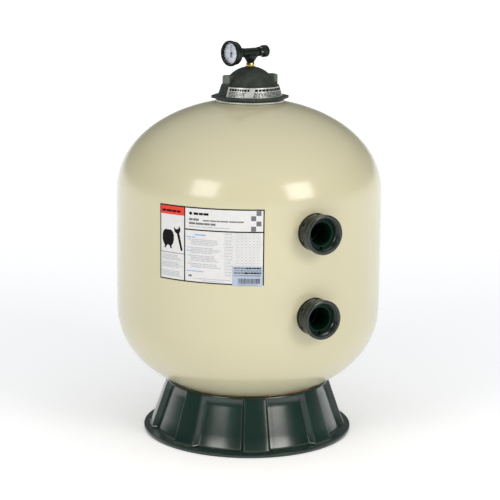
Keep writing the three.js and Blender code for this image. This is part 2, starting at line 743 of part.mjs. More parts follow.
// ---------- relief valve and gauge ----------
/** Tee in the gauge's facing() frame: local Z runs towards the gauge and local Y is up. */
function valveTee() {
  const bottom = LID_TOP + ADAPTER.hexH + 2 * GAP - VALVE_AXIS_Z;
  const [runR, runEnd, collarStart] = [9.8, 33, 25];
  const [spoutR, spoutEnd, boreR, socketR] = [7, -39, 3.6, 5.4];
  const toUpright = [-90, 0, 0];
  const upright = solid(
    revolve([
      [0, bottom],
      [8.6, bottom],
      [14.8, bottom + 10.5],
      [14.8, bottom + 16],
      [runR, 0],
      [0, 4],
    ], 8),
  ).rotate(toUpright);
  const web = new THREE.Shape([
    new THREE.Vector2(-21.5, -6),
    new THREE.Vector2(-21.5, -10.5),
    new THREE.Vector2(-8, bottom + 4),
    new THREE.Vector2(0, bottom + 4),
    new THREE.Vector2(0, -6),
  ]);
  const webHalf = 4;
  const gusset = solid(new THREE.ExtrudeGeometry(web, { depth: 2 * webHalf, bevelEnabled: false }))
    .translate([0, 0, -webHalf])
    .rotate([0, -90, 0]);
  return upright
    .add(solid(disc(runR, -22, runEnd, 20)))
    .add(solid(disc(11.6, collarStart, runEnd, 6)))
    .add(solid(disc(spoutR, spoutEnd, -20, 20)))
    .add(gusset)
    .subtract(solid(disc(ADAPTER.stemR + 0.4, bottom - 1, bottom + 9, 16)).rotate(toUpright))
    .subtract(solid(disc(ADAPTER.bore - 0.2, bottom, 0, 12)).rotate(toUpright))
    .subtract(solid(disc(boreR, spoutEnd - 11, 20, 12)))
    .subtract(solid(disc(socketR, 20, runEnd + 7, 16)));
}

function reliefKnob() {
  const { front, floor, back, gripR, neckR, bore, flutes } = KNOB;
  let knob = solid(
    revolve([
      [0, front],
      [gripR - 1.5, front],
      [gripR, front + 1.5],
      [gripR, -38],
      [neckR, -33],
      [neckR, back],
      [bore, back],
      [bore, floor],
      [0, floor],
    ], SMALL_ROUND),
  );
  for (let i = 0; i < flutes; i++) {
    const flute = solid(disc(1.6, front - 12, -36, 8)).translate([gripR + 0.6, 0, 0]);
    knob = knob.subtract(flute.rotate([0, 0, ((i + 0.5) * 360) / flutes]));
  }
  return geometryOf(knob);
}

function gaugeNeedle() {
  const { back, bladeBack, bladeThick, front, pinR, bossR, reach } = NEEDLE;
  const outline = new THREE.Shape([
    new THREE.Vector2(-1.6, -9),
    new THREE.Vector2(1.6, -9),
    new THREE.Vector2(1.4, 0),
    new THREE.Vector2(0.35, reach),
    new THREE.Vector2(-0.35, reach),
    new THREE.Vector2(-1.4, 0),
  ]);
  const blade = solid(new THREE.ExtrudeGeometry(outline, { depth: bladeThick, bevelEnabled: false }));
  const spindle = solid(disc(pinR, back, bladeBack + bladeThick, 12));
  const boss = solid(disc(bossR, bladeBack - GAP, front, 16));
  return geometryOf(blade.translate([0, 0, bladeBack]).add(spindle).add(boss));
}

/** The gauge's curved tube, its mounting block and the bridge between them. */
function bourdonMovement() {
  const [outer, inner, from, to] = [18, 14.5, radians(-60), radians(200)];
  const [back, thick] = [49, 5];
  const arc = new THREE.Shape().absarc(0, 0, outer, from, to, false);
  arc.absarc(0, 0, inner, to, from, true);
  const bent = new THREE.ExtrudeGeometry(arc, { depth: thick, bevelEnabled: false, curveSegments: 14 });
  const block = solid(box(-7, 7, -12, 7, back - 0.4, back + 4));
  const bridge = solid(box(6, 13, -15, -7, back, back + thick));
  const pinHole = solid(disc(1.7, back - 9, back + 11, 12));
  return geometryOf(solid(bent).translate([0, 0, back]).add(block).add(bridge).subtract(pinHole));
}

function valveAndGauge() {
  const head = facing(GAUGE_AZIMUTH, VALVE_AXIS_Z);
  add("valve_tee", geometryOf(valveTee()), "black", head);
  add("relief_knob", reliefKnob(), "black", head);
  add("relief_stem", disc(STEM.r, STEM.tip, STEM.end, 12), "black", head);
  const socket = solid(disc(7.2, 33 + GAP, GAUGE.back - GAP, 4))
    .add(solid(disc(5, 24, 34, 16)))
    .subtract(solid(disc(1.6, 20, 44, 8)));
  add("gauge_socket", geometryOf(socket), "brass", head);
  const { back, face, r, caseR, dialR, pinHole } = GAUGE;
  add(
    "gauge_case",
    revolve([
      [0, back],
      [caseR - 2.5, back],
      [caseR, back + 2.5],
      [caseR, face - 7],
      [caseR, face - 4],
      [caseR - 1.8, face - 4],
      [caseR - 1.8, back + 2],
      [0, back + 2],
    ], 24),
    "black",
    head,
  );
  add("gauge_movement", bourdonMovement(), "brass", head);
  add("gauge_dial", ring(pinHole, dialR, DIAL.back, DIAL.front, 24), "label", head);
  add("gauge_needle", gaugeNeedle(), "needle", head);
  add("gauge_lens", disc(caseR - 2.2, face - 3.6, face - 1.8, 24), "glass", head);
  add(
    "gauge_bezel",
    revolve([
      [caseR + GAP, face - 8],
      [r, face - 8],
      [r, face - 1],
      [r - 1, face],
      [dialR, face],
      [dialR, face - 1.5],
      [caseR + GAP, face - 1.5],
    ], 24),
    "black",
    head,
  );
}

add("lower_dome", lowerDome(), "tank");
add("barrel", barrel(), "tank");
add("upper_dome", shell(upperCurve), "tank");
add("neck_ring", neckRing(), "neck");
add("foot_skirt", footSkirt(), "foot");
add("bonding_bead", bondingBead(), "resin");
portPieces("lower");
portPieces("upper");
insides();
drain();
labels();
lidGroup();
valveAndGauge();

export default filter;
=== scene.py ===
"""The looks of a side-mount sand filter tank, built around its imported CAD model.

Lengths in the making functions are millimetres; Blender objects are metres, in the CAD model's own frame.
The pipe ports face -Y and an azimuth is measured from -Y towards +X, seen from above.
"""

import math
import random

import bmesh
import bpy
from mathutils import Matrix, Vector


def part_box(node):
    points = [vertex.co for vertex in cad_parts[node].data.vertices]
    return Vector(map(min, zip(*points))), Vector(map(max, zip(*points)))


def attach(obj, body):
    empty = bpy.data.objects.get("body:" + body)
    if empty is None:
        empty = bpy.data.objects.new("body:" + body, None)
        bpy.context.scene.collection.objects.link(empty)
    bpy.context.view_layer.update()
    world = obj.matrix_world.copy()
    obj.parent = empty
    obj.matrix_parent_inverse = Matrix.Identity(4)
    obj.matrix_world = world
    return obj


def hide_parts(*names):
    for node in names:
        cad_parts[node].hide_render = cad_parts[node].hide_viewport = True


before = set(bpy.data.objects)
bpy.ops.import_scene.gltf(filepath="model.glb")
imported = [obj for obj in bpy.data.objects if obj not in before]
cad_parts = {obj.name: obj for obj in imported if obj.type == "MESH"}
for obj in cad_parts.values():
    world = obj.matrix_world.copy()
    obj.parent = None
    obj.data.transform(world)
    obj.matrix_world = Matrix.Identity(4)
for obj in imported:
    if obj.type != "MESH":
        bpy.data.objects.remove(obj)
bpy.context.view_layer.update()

MM = 0.001
TURN = 2 * math.pi
GAP = 0.3


# ---------- sizes, taken from the frame ----------
def low(node):
    return [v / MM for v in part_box(node)[0]]


def high(node):
    return [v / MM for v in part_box(node)[1]]


def middle(node, axis):
    return (low(node)[axis] + high(node)[axis]) / 2


TANK_R = high("barrel")[0]
WALL = 6.0
LOWER_SEAM = low("barrel")[2]
UPPER_SEAM = high("barrel")[2]

FOOT_TOP = high("foot_skirt")[2]
FOOT_R = high("foot_skirt")[0]
FOOT_RIM = 9.0
PILASTERS = 8
PILASTER_FIRST = 22.5
PILASTER_HALF = 7.2
PILASTER_DRAFT = 1.6
PILASTER_PROUD = 13.0
PILASTER_R_BOTTOM = 233.0
PILASTER_R_TOP = 192.0

PORTS = {which: middle(which + "_port_adapter", 2) for which in ("lower", "upper")}
PORT_TIP = -low("upper_port_adapter")[1]
PORT_R = high("upper_port_adapter")[0]
PORT_BORE_R = 26.0
PORT_MOUTH_R = 35.6
PORT_MOUTH_DEPTH = 17.0
TUBE_R = 36.5
TUBE_CLEAR_R = TUBE_R + GAP

NECK_TOP = high("neck_ring")[2]
NECK_BOTTOM = low("neck_ring")[2]
NECK_FLANGE_R = high("neck_ring")[0]
NECK_BORE_R = 64.4
NECK_TUBE_R = 71.5

THREAD = {"pitch": 12.0, "width": 4.0, "turns": 2.0}
THREAD_START = 750.0
CORE_R = 60.4
LID_BOTTOM = low("closure_lid")[2]
LID_FLANGE_LOW = 794.6
LID_FLANGE_TOP = 801.0
LID_CORNER = 91.0
LID_SKIRT_R = (75.0, 67.0)
LID_SKIRT_TOP = 826.5
LID_DOME_R = 64.0
LID_DOME_CENTRE = 804.0
LID_TOP = high("closure_lid")[2]

GAUGE_AZIMUTH = -75.0
VALVE_Z = middle("gauge_bezel", 2)
GAUGE_FACE = 67.5
GAUGE_BACK = 46.0
GAUGE_R = 29.5
CASE_R = 27.0
DIAL_R = 24.4
DIAL_FACE = 58.45
INK_THICK = 0.08
SCALE_SWEEP = 270.0
SCALE_TOP = 60

PIPE_R = 24.9
PIPE_BORE = 21.6
PIPE_SEAT_R = 25.3
ELBOW_BEND = 34.0
HUB_Z = 172.0
LATERALS = 8
LATERAL_FIRST = 22.5
LATERAL_PIVOT_R = 46.0
LATERAL_TIP = 213.7
LATERAL_R = 9.5

DRAIN_Z = middle("drain_cap", 2)
DRAIN_TIP = high("drain_cap")[1]
DRAIN_CAP_R = high("drain_cap")[0]
DRAIN_COLLAR = high("drain_collar")[1]
DRAIN_MOUTH = high("drain_spigot")[1]
DRAIN_TUBE = 17.0


# ---------- places ----------
def move(x=0.0, y=0.0, z=0.0):
    return Matrix.Translation((x, y, z))


def swing(degrees, axis):
    return Matrix.Rotation(math.radians(degrees), 4, axis)


def facing(azimuth, height):
    """Local +Z points out level from the axis at an azimuth, and local +Y points up."""
    return move(z=height) @ (swing(azimuth, "Z") @ swing(90, "X"))


def around(count, where, first=0.0):
    """A place turned about its local Z in equal steps."""
    return [where @ Matrix.Rotation((k + first) * TURN / count, 4, "Z") for k in range(count)]


UPRIGHT = Matrix.Identity(4)
HEAD = facing(GAUGE_AZIMUTH, VALVE_Z)
DRAIN = facing(180, DRAIN_Z)


# ---------- outlines ----------
def spread(start, end, steps):
    """Evenly spaced values, with both ends."""
    return [start + (end - start) * k / steps for k in range(steps + 1)]


def polar(radius, angle, *rest):
    """A point at a radius and an angle from -Y towards +X, with anything else that it carries."""
    return (radius * math.sin(angle), -radius * math.cos(angle), *rest)


def polygon(count, radius, ease=0, first=0.0, centre=(0, 0), tall=None):
    """A regular outline with eased corners. Its radius across may differ from its radius upwards."""
    points = []
    for k in range(count):
        a = TURN * (k + first) / count
        spot = (centre[0] + radius * math.cos(a), centre[1] + (tall or radius) * math.sin(a))
        points.append((*spot, ease) if ease else spot)
    return points


def oblong(x0, x1, y0, y1, ease=0):
    return [(x0, y0, ease), (x1, y0, ease), (x1, y1, ease), (x0, y1, ease)]


def fillet(outline, steps=4):
    """Rounds the corners of a closed outline: each entry is (x, y) or (x, y, corner radius)."""
    points = []
    count = len(outline)
    for i, (x, y, *rest) in enumerate(outline):
        radius = rest[0] if rest else 0
        if not radius:
            points.append((x, y))
            continue
        corner = Vector((x, y))
        before = Vector(outline[i - 1][:2]) - corner
        after = Vector(outline[(i + 1) % count][:2]) - corner
        u, v = before.normalized(), after.normalized()
        half = u.angle(v) / 2
        reach = min(radius / math.tan(half), 0.48 * before.length, 0.48 * after.length)
        radius = reach * math.tan(half)
        centre = corner + (u + v).normalized() * radius / math.sin(half)
        start, end = corner + u * reach - centre, corner + v * reach - centre
        sweep = start.angle(end)
        for t in spread(0, 1, steps):
            p = start * math.sin((1 - t) * sweep) + end * math.sin(t * sweep)
            p = centre + p / math.sin(sweep)
            points.append((p.x, p.y))
    return points


class Dome:
    """An end of the tank: a superelliptic dome that rises from its spring line, or hangs from it."""

    def __init__(self, spring, rise, power):
        self.spring = spring
        self.rise = rise
        self.power = power

    def radius(self, z, inset=0.0):
        share = abs(z - self.spring) / (abs(self.rise) - inset)
        return (TANK_R - inset) * (1 - share ** self.power) ** (1 / self.power)

    def arc(self, start, end, inset=0.0, steps=40):
        """Points from one radius to another, on the dome moved into the wall by an inset."""
        full = TANK_R - inset
        first, last = (math.acos(min(1, (r / full) ** (self.power / 2))) for r in (start, end))
        points = []
        for a in spread(first, last, steps):
            height = (abs(self.rise) - inset) * max(0, math.sin(a)) ** (2 / self.power)
            r = full * max(0, math.cos(a)) ** (2 / self.power)
            points.append((r, self.spring + math.copysign(height, self.rise)))
        return points


LOWER_DOME = Dome(305.0, low("lower_dome")[2] - 305.0, 2.12)
UPPER_DOME = Dome(580.0, 213.0, 2.04)


# ---------- mesh making ----------
def show(name, mesh):
    thing = bpy.data.objects.new(name, mesh)
    bpy.context.scene.collection.objects.link(thing)
    return thing


def smooth(mesh, sharp=32):
    mesh.shade_smooth()
    mesh.set_sharp_from_angle(angle=math.radians(sharp))


def make(name, verts, faces, where=UPRIGHT, sharp=32, merge=True):
    """A mesh object from millimetre points, with its normals out and its edges sharp past an angle."""
    mesh = bpy.data.meshes.new(name)
    mesh.from_pydata([tuple(where @ Vector(v) * MM) for v in verts], [], faces)
    work = bmesh.new()
    work.from_mesh(mesh)
    if merge:
        bmesh.ops.remove_doubles(work, verts=work.verts, dist=1e-7)
    bmesh.ops.recalc_face_normals(work, faces=work.faces)
    work.to_mesh(mesh)
    work.free()
    smooth(mesh, sharp)
    return show(name, mesh)


def lathe(name, outline, sides=96, where=UPRIGHT, sharp=32):
    """Turns a closed outline of (radius, height[, corner radius]) about local Z."""
    loop = fillet(outline)
    count = len(loop)
    verts = [polar(r, TURN * i / sides, z) for i in range(sides) for r, z in loop]
    faces = []
    for i in range(sides):
        j = (i + 1) % sides
        for k in range(count):
            m = (k + 1) % count
            quad = [i * count + k, j * count + k, j * count + m, i * count + m]
            starts_on_axis, ends_on_axis = loop[k][0] < 1e-6, loop[m][0] < 1e-6
            if starts_on_axis and ends_on_axis:
                continue
            if starts_on_axis:
                quad = [quad[0], quad[2], quad[3]]
            elif ends_on_axis:
                quad = quad[:3]
            faces.append(quad)
    return make(name, verts, faces, where, sharp)


def sleeve(inner, outer, z0, z1, sides=32, where=UPRIGHT, ease=(0, 0, 0, 0), name="tool"):
    """A round sleeve. Its eases are for the inner low, outer low, outer high and inner high edges."""
    edges = ((inner, z0), (outer, z0), (outer, z1), (inner, z1))
    return lathe(name, [(*edge, radius) for edge, radius in zip(edges, ease)], sides, where)


def rod(radius, z0, z1, sides=32, where=UPRIGHT, ease=(0, 0), name="tool"):
    return sleeve(0, radius, z0, z1, sides, where, (0, *ease, 0), name)


def prism(name, outline, z0, z1, where=UPRIGHT, steps=4, bevel=0):
    """A flat outline of (x, y[, corner radius]) drawn out along local Z, with its rims eased by a bevel."""
    loop = fillet(outline, steps)
    count = len(loop)
    verts = [(x, y, z0) for x, y in loop] + [(x, y, z1) for x, y in loop]
    faces = [list(range(count))[::-1], list(range(count, 2 * count))]
    faces += [[k, (k + 1) % count, count + (k + 1) % count, count + k] for k in range(count)]
    thing = make(name, verts, faces, where)
    if bevel:
        rims = thing.modifiers.new("rims", "BEVEL")
        rims.width = bevel * MM
        rims.segments = 3
        rims.limit_method = "ANGLE"
        rims.angle_limit = math.radians(50)
        settle(thing)
    return thing


def loft(name, loops, where=UPRIGHT, sharp=32, capped=False):
    """Joins equal loops of points. The last loop meets the first, or the ends are capped."""
    count = len(loops[0])
    verts = [p for loop in loops for p in loop]
    faces = []
    for i in range(len(loops) - 1 if capped else len(loops)):
        j = (i + 1) % len(loops)
        for k in range(count):
            m = (k + 1) % count
            faces.append([i * count + k, i * count + m, j * count + m, j * count + k])
    if capped:
        faces += [list(range(count))[::-1], list(range(len(verts) - count, len(verts)))]
    return make(name, verts, faces, where, sharp)


def settle(thing, sharp=32):
    """Applies every modifier."""
    graph = bpy.context.evaluated_depsgraph_get()
    mesh = bpy.data.meshes.new_from_object(thing.evaluated_get(graph))
    thing.modifiers.clear()
    old, thing.data = thing.data, mesh
    bpy.data.meshes.remove(old)
    smooth(mesh, sharp)


def combine(thing, *others, operation="UNION", sharp=32):
    """Joins solids to one, or cuts them from it, and removes them."""
    for other in others:
        change = thing.modifiers.new("change", "BOOLEAN")
        change.operation = operation
        change.solver = "EXACT"
        change.object = other
        settle(thing, sharp)
        bpy.data.objects.remove(other)
    return thing


def cut(thing, *others, sharp=32):
    return combine(thing, *others, operation="DIFFERENCE", sharp=sharp)


def join(name, parts):
    """Puts separate closed shells in one piece."""
    thing, *others = parts
    thing.name = name
    work = bmesh.new()
    work.from_mesh(thing.data)
    for other in others:
        work.from_mesh(other.data)
        bpy.data.objects.remove(other)
    work.to_mesh(thing.data)
    work.free()
    smooth(thing.data)
    return thing


def bent_bar(name, path, radius, sides):
    """A round bar along a list of points."""
    points = [Vector(p) for p in path]
    loops = []
    side = None
    for i, p in enumerate(points):
        ahead = (points[min(i + 1, len(points) - 1)] - points[max(i - 1, 0)]).normalized()
        if side is None:
            side = ahead.orthogonal().normalized()
        side = (side - ahead * side.dot(ahead)).normalized()
        up = ahead.cross(side)
        turns = [TURN * k / sides for k in range(sides)]
        loops.append([tuple(p + (side * math.cos(a) + up * math.sin(a)) * radius) for a in turns])
    return loft(name, loops, capped=True)


def thread(name, core, crest, start, pitch, width, turns, per_turn=64):
    """The ridge of a screw thread, thinned out at both ends. Its crest may lie inside its core radius."""
    steps = int(turns * per_turn)
    sign = math.copysign(1, crest - core)
    loops = []
    for i in range(steps + 1):
        ease = min(1, i / 10, (steps - i) / 10)
        top = core + (crest - core) * ease - sign * 0.3 * (1 - ease)
        z = start + pitch * i / per_turn
        c, s = math.cos(TURN * i / per_turn), math.sin(TURN * i / per_turn)
        buried = core - sign * 1.0
        section = [
            (buried, z - width * 0.5),
            (top - sign * 0.4, z - width * 0.2),
            (top, z - width * 0.05),
            (top, z + width * 0.3),
            (top - sign * 0.4, z + width * 0.42),
            (buried, z + width * 0.5),
        ]
        loops.append([(r * c, r * s, h) for r, h in section])
    return loft(name, loops, capped=True)


# ---------- materials ----------
class Surface:
    """A node material made in short steps."""

    def __init__(self, name, colour, roughness, metallic=0.0, specular=0.5, coat=0.0, coat_roughness=0.06):
        self.material = bpy.data.materials.new(name)
        self.material.use_nodes = True
        self.tree = self.material.node_tree
        self.shader = self.tree.nodes["Principled BSDF"]
        self.set("Base Color", (*colour, 1))
        self.set("Roughness", roughness)
        self.set("Metallic", metallic)
        self.set("Specular IOR Level", specular)
        self.set("Coat Weight", coat)
        self.set("Coat Roughness", coat_roughness)
        self.colour = colour
        self.place = self.node("ShaderNodeTexCoord").outputs["Object"]
        self.height = None

    def node(self, kind, **inputs):
        made = self.tree.nodes.new(kind)
        for key, value in inputs.items():
            made.inputs[key.replace("_", " ")].default_value = value
        return made

    def link(self, a, b):
        self.tree.links.new(a, b)

    def set(self, socket, value):
        self.shader.inputs[socket].default_value = value

    def noise(self, scale, detail=4.0, roughness=0.6, stretch=None):
        made = self.node("ShaderNodeTexNoise", Scale=scale, Detail=detail, Roughness=roughness)
        place = self.place
        if stretch:
            mapping = self.node("ShaderNodeMapping", Scale=stretch)
            self.link(place, mapping.inputs["Vector"])
            place = mapping.outputs["Vector"]
        self.link(place, made.inputs["Vector"])
        return made.outputs["Fac"]

    def ramp(self, value, *stops):
        made = self.node("ShaderNodeValToRGB")
        for cell, (at, colour) in zip(made.color_ramp.elements, stops):
            cell.position = at
            cell.color = (*colour, 1)
        self.link(value, made.inputs["Fac"])
        return made.outputs["Color"]

    def share(self, value, **limits):
        """Maps a value from one range to another."""
        made = self.node("ShaderNodeMapRange", **limits)
        self.link(value, made.inputs["Value"])
        return made.outputs["Result"]

    def math(self, operation, *values):
        made = self.node("ShaderNodeMath")
        made.operation = operation
        for value, socket in zip(values, made.inputs):
            self.link(value, socket)
        return made.outputs[0]

    def vary(self, value, other, low_end=0.35, high_end=0.65):
        """Blends the base colour towards another one by a value."""
        blend = self.ramp(value, (low_end, self.colour), (high_end, other))
        self.link(blend, self.shader.inputs["Base Color"])

    def worn_above(self, height, aside, colour):
        """Turns the parts over a height and beyond a distance to either side paler."""
        soft = 0.004
        split = self.node("ShaderNodeSeparateXYZ")
        self.link(self.place, split.inputs["Vector"])
        away = self.math("ABSOLUTE", split.outputs["X"])
        above = self.share(split.outputs["Z"], From_Min=height, From_Max=height + soft)
        beyond = self.share(away, From_Min=aside, From_Max=aside + soft)
        mix = self.node("ShaderNodeMix")
        mix.data_type = "RGBA"
        self.link(self.math("MULTIPLY", above, beyond), mix.inputs["Factor"])
        self.link(self.shader.inputs["Base Color"].links[0].from_socket, mix.inputs[6])
        mix.inputs[7].default_value = (*colour, 1)
        self.link(mix.outputs[2], self.shader.inputs["Base Color"])

    def rough(self, value, least, most):
        share = self.share(value, From_Min=0.3, From_Max=0.7, To_Min=least, To_Max=most)
        self.link(share, self.shader.inputs["Roughness"])

    def bump(self, value, depth, strength=1.0):
        made = self.node("ShaderNodeBump", Strength=strength, Distance=depth)
        self.link(value, made.inputs["Height"])
        if self.height:
            self.link(self.height, made.inputs["Normal"])
        self.height = made.outputs["Normal"]
        self.link(self.height, self.shader.inputs["Normal"])


def linear(r, g, b):
    """An sRGB colour of 0 to 255 as Blender's linear numbers."""
    def one(c):
        c /= 255
        return c / 12.92 if c <= 0.04045 else ((c + 0.055) / 1.055) ** 2.4
    return (one(r), one(g), one(b))


def gelcoat():
    s = Surface("gelcoat", linear(202, 196, 164), 0.4, specular=0.2, coat=0.95, coat_roughness=0.16)
    s.vary(s.noise(7, 5), linear(202, 196, 162), 0.3, 0.7)
    s.rough(s.noise(40, 3), 0.33, 0.4)
    s.bump(s.noise(9, 2), 0.0006, 0.35)
    s.bump(s.noise(420, 2), 0.00003, 0.5)
    return s.material


def foot_plastic():
    s = Surface("foot_plastic", linear(1, 33, 25), 0.24, coat=0.6, coat_roughness=0.24)
    s.vary(s.noise(12), linear(4, 44, 35), 0.35, 0.7)
    s.rough(s.noise(60), 0.2, 0.25)
    s.bump(s.noise(18, 3), 0.0006, 0.3)
    return s.material


def port_plastic():
    s = Surface("port_plastic", linear(2, 22, 16), 0.2, specular=0.6)
    s.vary(s.noise(30), linear(8, 26, 20), 0.4, 0.75)
    s.rough(s.noise(90), 0.18, 0.25)
    s.bump(s.noise(500, 3), 0.00002, 0.4)
    return s.material


def port_bore():
    s = Surface("port_bore", linear(4, 38, 24), 0.5, specular=0.2)
    s.vary(s.noise(60), linear(7, 46, 30), 0.4, 0.75)
    s.bump(s.noise(400, 3), 0.00003, 0.5)
    return s.material


def lid_plastic():
    s = Surface("lid_plastic", linear(26, 38, 31), 0.55, specular=0.35)
    s.vary(s.noise(38, 6, 0.7), linear(58, 60, 54), 0.38, 0.68)
    # Makes the lugs' upper outer ends, over 829 mm and beyond 57 mm to either side, paler.
    s.worn_above(0.829, 0.057, linear(98, 107, 99))
    s.rough(s.noise(70), 0.45, 0.68)
    s.bump(s.noise(260), 0.00018, 0.6)
    return s.material


def valve_plastic():
    s = Surface("valve_plastic", linear(3, 16, 9), 0.36, specular=0.3)
    s.vary(s.noise(80), linear(8, 24, 16), 0.4, 0.75)
    s.rough(s.noise(150), 0.3, 0.48)
    s.bump(s.noise(700, 3), 0.00004, 0.6)
    return s.material


def neck_plastic():
    s = Surface("neck_plastic", linear(206, 214, 210), 0.4)
    s.vary(s.noise(30), linear(190, 199, 192), 0.35, 0.75)
    s.bump(s.noise(400, 3), 0.00004, 0.5)
    return s.material


def white_plastic():
    s = Surface("white_plastic", linear(224, 224, 216), 0.38)
    s.vary(s.noise(25), linear(212, 211, 200), 0.35, 0.7)
    s.rough(s.noise(90, 3), 0.32, 0.46)
    s.bump(s.noise(350, 3), 0.00004, 0.5)
    return s.material


def black_rubber():
    s = Surface("black_rubber", linear(24, 25, 24), 0.75, specular=0.3)
    s.vary(s.noise(120, 5), linear(40, 41, 39), 0.4, 0.8)
    s.bump(s.noise(800), 0.00008, 0.7)
    return s.material


def machined_brass():
    s = Surface("machined_brass", linear(204, 182, 108), 0.3, metallic=1.0)
    s.vary(s.noise(60, 5), linear(172, 146, 80), 0.4, 0.75)
    s.rough(s.noise(300, 3, stretch=(1, 1, 9)), 0.2, 0.4)
    s.bump(s.noise(500, 2, stretch=(1, 1, 12)), 0.00003, 0.5)
    return s.material


def brushed_foil():
    s = Surface("brushed_foil", linear(206, 210, 207), 0.34, metallic=0.35)
    s.vary(s.noise(120, stretch=(1, 1, 8)), linear(184, 190, 186), 0.35, 0.7)
    s.rough(s.noise(200, 3, stretch=(1, 1, 10)), 0.26, 0.42)
    s.bump(s.noise(240, 2, stretch=(1, 1, 14)), 0.00003, 0.5)
    return s.material


def printed_film(name, colour, roughness=0.34, specular=0.4, coat=0.15):
    s = Surface(name, colour, roughness, specular=specular, coat=coat)
    s.vary(s.noise(60), tuple(c * 0.93 for c in colour), 0.35, 0.75)
    s.bump(s.noise(130, 3), 0.00006, 0.4)
    return s.material


def amber_resin():
    s = Surface("amber_resin", linear(182, 142, 78), 0.3, specular=0.6)
    s.vary(s.noise(70, 5), linear(128, 90, 40), 0.35, 0.7)
    s.rough(s.noise(160, 3), 0.2, 0.45)
    s.bump(s.noise(190), 0.0004, 0.8)
    return s.material


def clear_window():
    s = Surface("clear_window", (0.96, 0.98, 0.98), 0.03)
    s.set("Transmission Weight", 1.0)
    s.set("IOR", 1.2)
    s.set("Alpha", 0.35)
    s.rough(s.noise(80, 3), 0.02, 0.05)
    s.bump(s.noise(60, 2), 0.00001, 0.3)
    return s.material


MATERIALS = {
    "gelcoat": gelcoat(),
    "foot": foot_plastic(),
    "port": port_plastic(),
    "bore": port_bore(),
    "lid": lid_plastic(),
    "valve": valve_plastic(),
    "neck": neck_plastic(),
    "white": white_plastic(),
    "rubber": black_rubber(),
    "brass": machined_brass(),
    "foil": brushed_foil(),
    "resin": amber_resin(),
    "window": clear_window(),
    "paper": printed_film("label_paper", linear(216, 216, 215)),
    "ink": printed_film("label_ink", linear(14, 12, 12), roughness=0.7, specular=0.15, coat=0),
    "fine_print": printed_film("fine_print", linear(104, 106, 110)),
    "pale_print": printed_film("pale_print", linear(172, 176, 182)),
    "red_ink": printed_film("red_ink", linear(222, 44, 16)),
    "blue_ink": printed_film("blue_ink", linear(122, 162, 214)),
    "sticker": printed_film("sticker_film", linear(170, 184, 203)),
    "dial": printed_film("dial_print", linear(222, 230, 242)),
    "mark": printed_film("white_mark", linear(196, 202, 200)),
}


def finish(thing, body, material, slot, *nodes):
    """Gives a piece its body and its material, and hides the CAD nodes that it stands for; its slot is not
    used.
    """
    if material:
        thing.data.materials.clear()
        thing.data.materials.append(MATERIALS[material])
    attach(thing, body)
    if nodes:
        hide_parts(*nodes)


# ---------- tank shell ----------
def shell(name, node, profile, *holes):
    """One moulding of the tank's wall, from a profile that can be moved in by an inset."""
    wall = lathe(name, profile(0.0) + profile(WALL)[::-1], 160, sharp=40)
    finish(cut(wall, *holes, sharp=40), "tank", "gelcoat", "tank", node)


def tank_shell():
    def bowl(inset):
        return LOWER_DOME.arc(LOWER_DOME.radius(LOWER_SEAM, inset), 0, inset)

    def crown(inset):
        return UPPER_DOME.arc(UPPER_DOME.radius(UPPER_SEAM, inset), NECK_TUBE_R + 0.5, inset)

    def side(inset):
        points = [(LOWER_DOME.radius(z, inset), z) for z in spread(LOWER_SEAM, LOWER_DOME.spring, 4)]
        points += [(TANK_R - inset, z) for z in spread(LOWER_DOME.spring, UPPER_DOME.spring, 11)[1:]]
        points += [(UPPER_DOME.radius(z, inset), z) for z in spread(UPPER_DOME.spring, UPPER_SEAM, 3)[1:]]
        return points

    shell("tank_lower_dome", "lower_dome", bowl, rod(19, 150, 330, 48, DRAIN))
    shell("tank_upper_dome", "upper_dome", crown)
    holes = [rod(TUBE_R + 1, 250, 330, 64, facing(0, z)) for z in PORTS.values()]
    shell("tank_barrel", "barrel", side, *holes)


def neck():
    share = 1 - (NECK_TUBE_R / TANK_R) ** UPPER_DOME.power
    seat = UPPER_DOME.spring + UPPER_DOME.rise * share ** (1 / UPPER_DOME.power) + GAP
    body = lathe("neck_insert", [
        (NECK_BORE_R, NECK_BOTTOM, 0.8),
        (NECK_TUBE_R, NECK_BOTTOM, 0.8),
        (NECK_TUBE_R, seat),
        (NECK_FLANGE_R, seat - 0.2, 0.5),
        (NECK_FLANGE_R, NECK_TOP, 1.6),
        (NECK_TUBE_R + 1.6, NECK_TOP, 0.3),
        (NECK_TUBE_R + 1.2, NECK_TOP - 0.5, 0.3),
        (NECK_TUBE_R - 3.8, NECK_TOP - 0.5, 0.3),
        (NECK_TUBE_R - 4.2, NECK_TOP, 0.3),
        (NECK_BORE_R, NECK_TOP, 1.0),
    ], 128)
    ridge = thread("ridge", NECK_BORE_R, NECK_BORE_R - 2.6, THREAD_START, **THREAD)
    finish(combine(body, ridge), "tank", "neck", "neck", "neck_ring")


# ---------- foot ----------
def foot_loop(radius, z, recess=PILASTER_PROUD, corner=2.2):
    """One level loop of the foot's wall: recessed panels between proud pilasters with eased corners."""
    pitch = 360 / PILASTERS
    foot = PILASTER_HALF + PILASTER_DRAFT

    def at(azimuth, depth, *ease):
        return polar(radius - depth, math.radians(azimuth), *ease)

    corners = []
    for i in range(PILASTERS):
        centre = PILASTER_FIRST + i * pitch
        corners.append(at(centre - PILASTER_HALF, 0, corner))
        corners += [at(centre + PILASTER_HALF * k / 3, 0) for k in range(-2, 3)]
        corners.append(at(centre + PILASTER_HALF, 0, corner))
        corners.append(at(centre + foot, recess, corner))
        corners += [at(centre + foot + (pitch - 2 * foot) * k / 12, recess) for k in range(1, 12)]
        corners.append(at(centre + pitch - foot, recess, corner))
    return [(x, y, z) for x, y in fillet(corners, 3)]


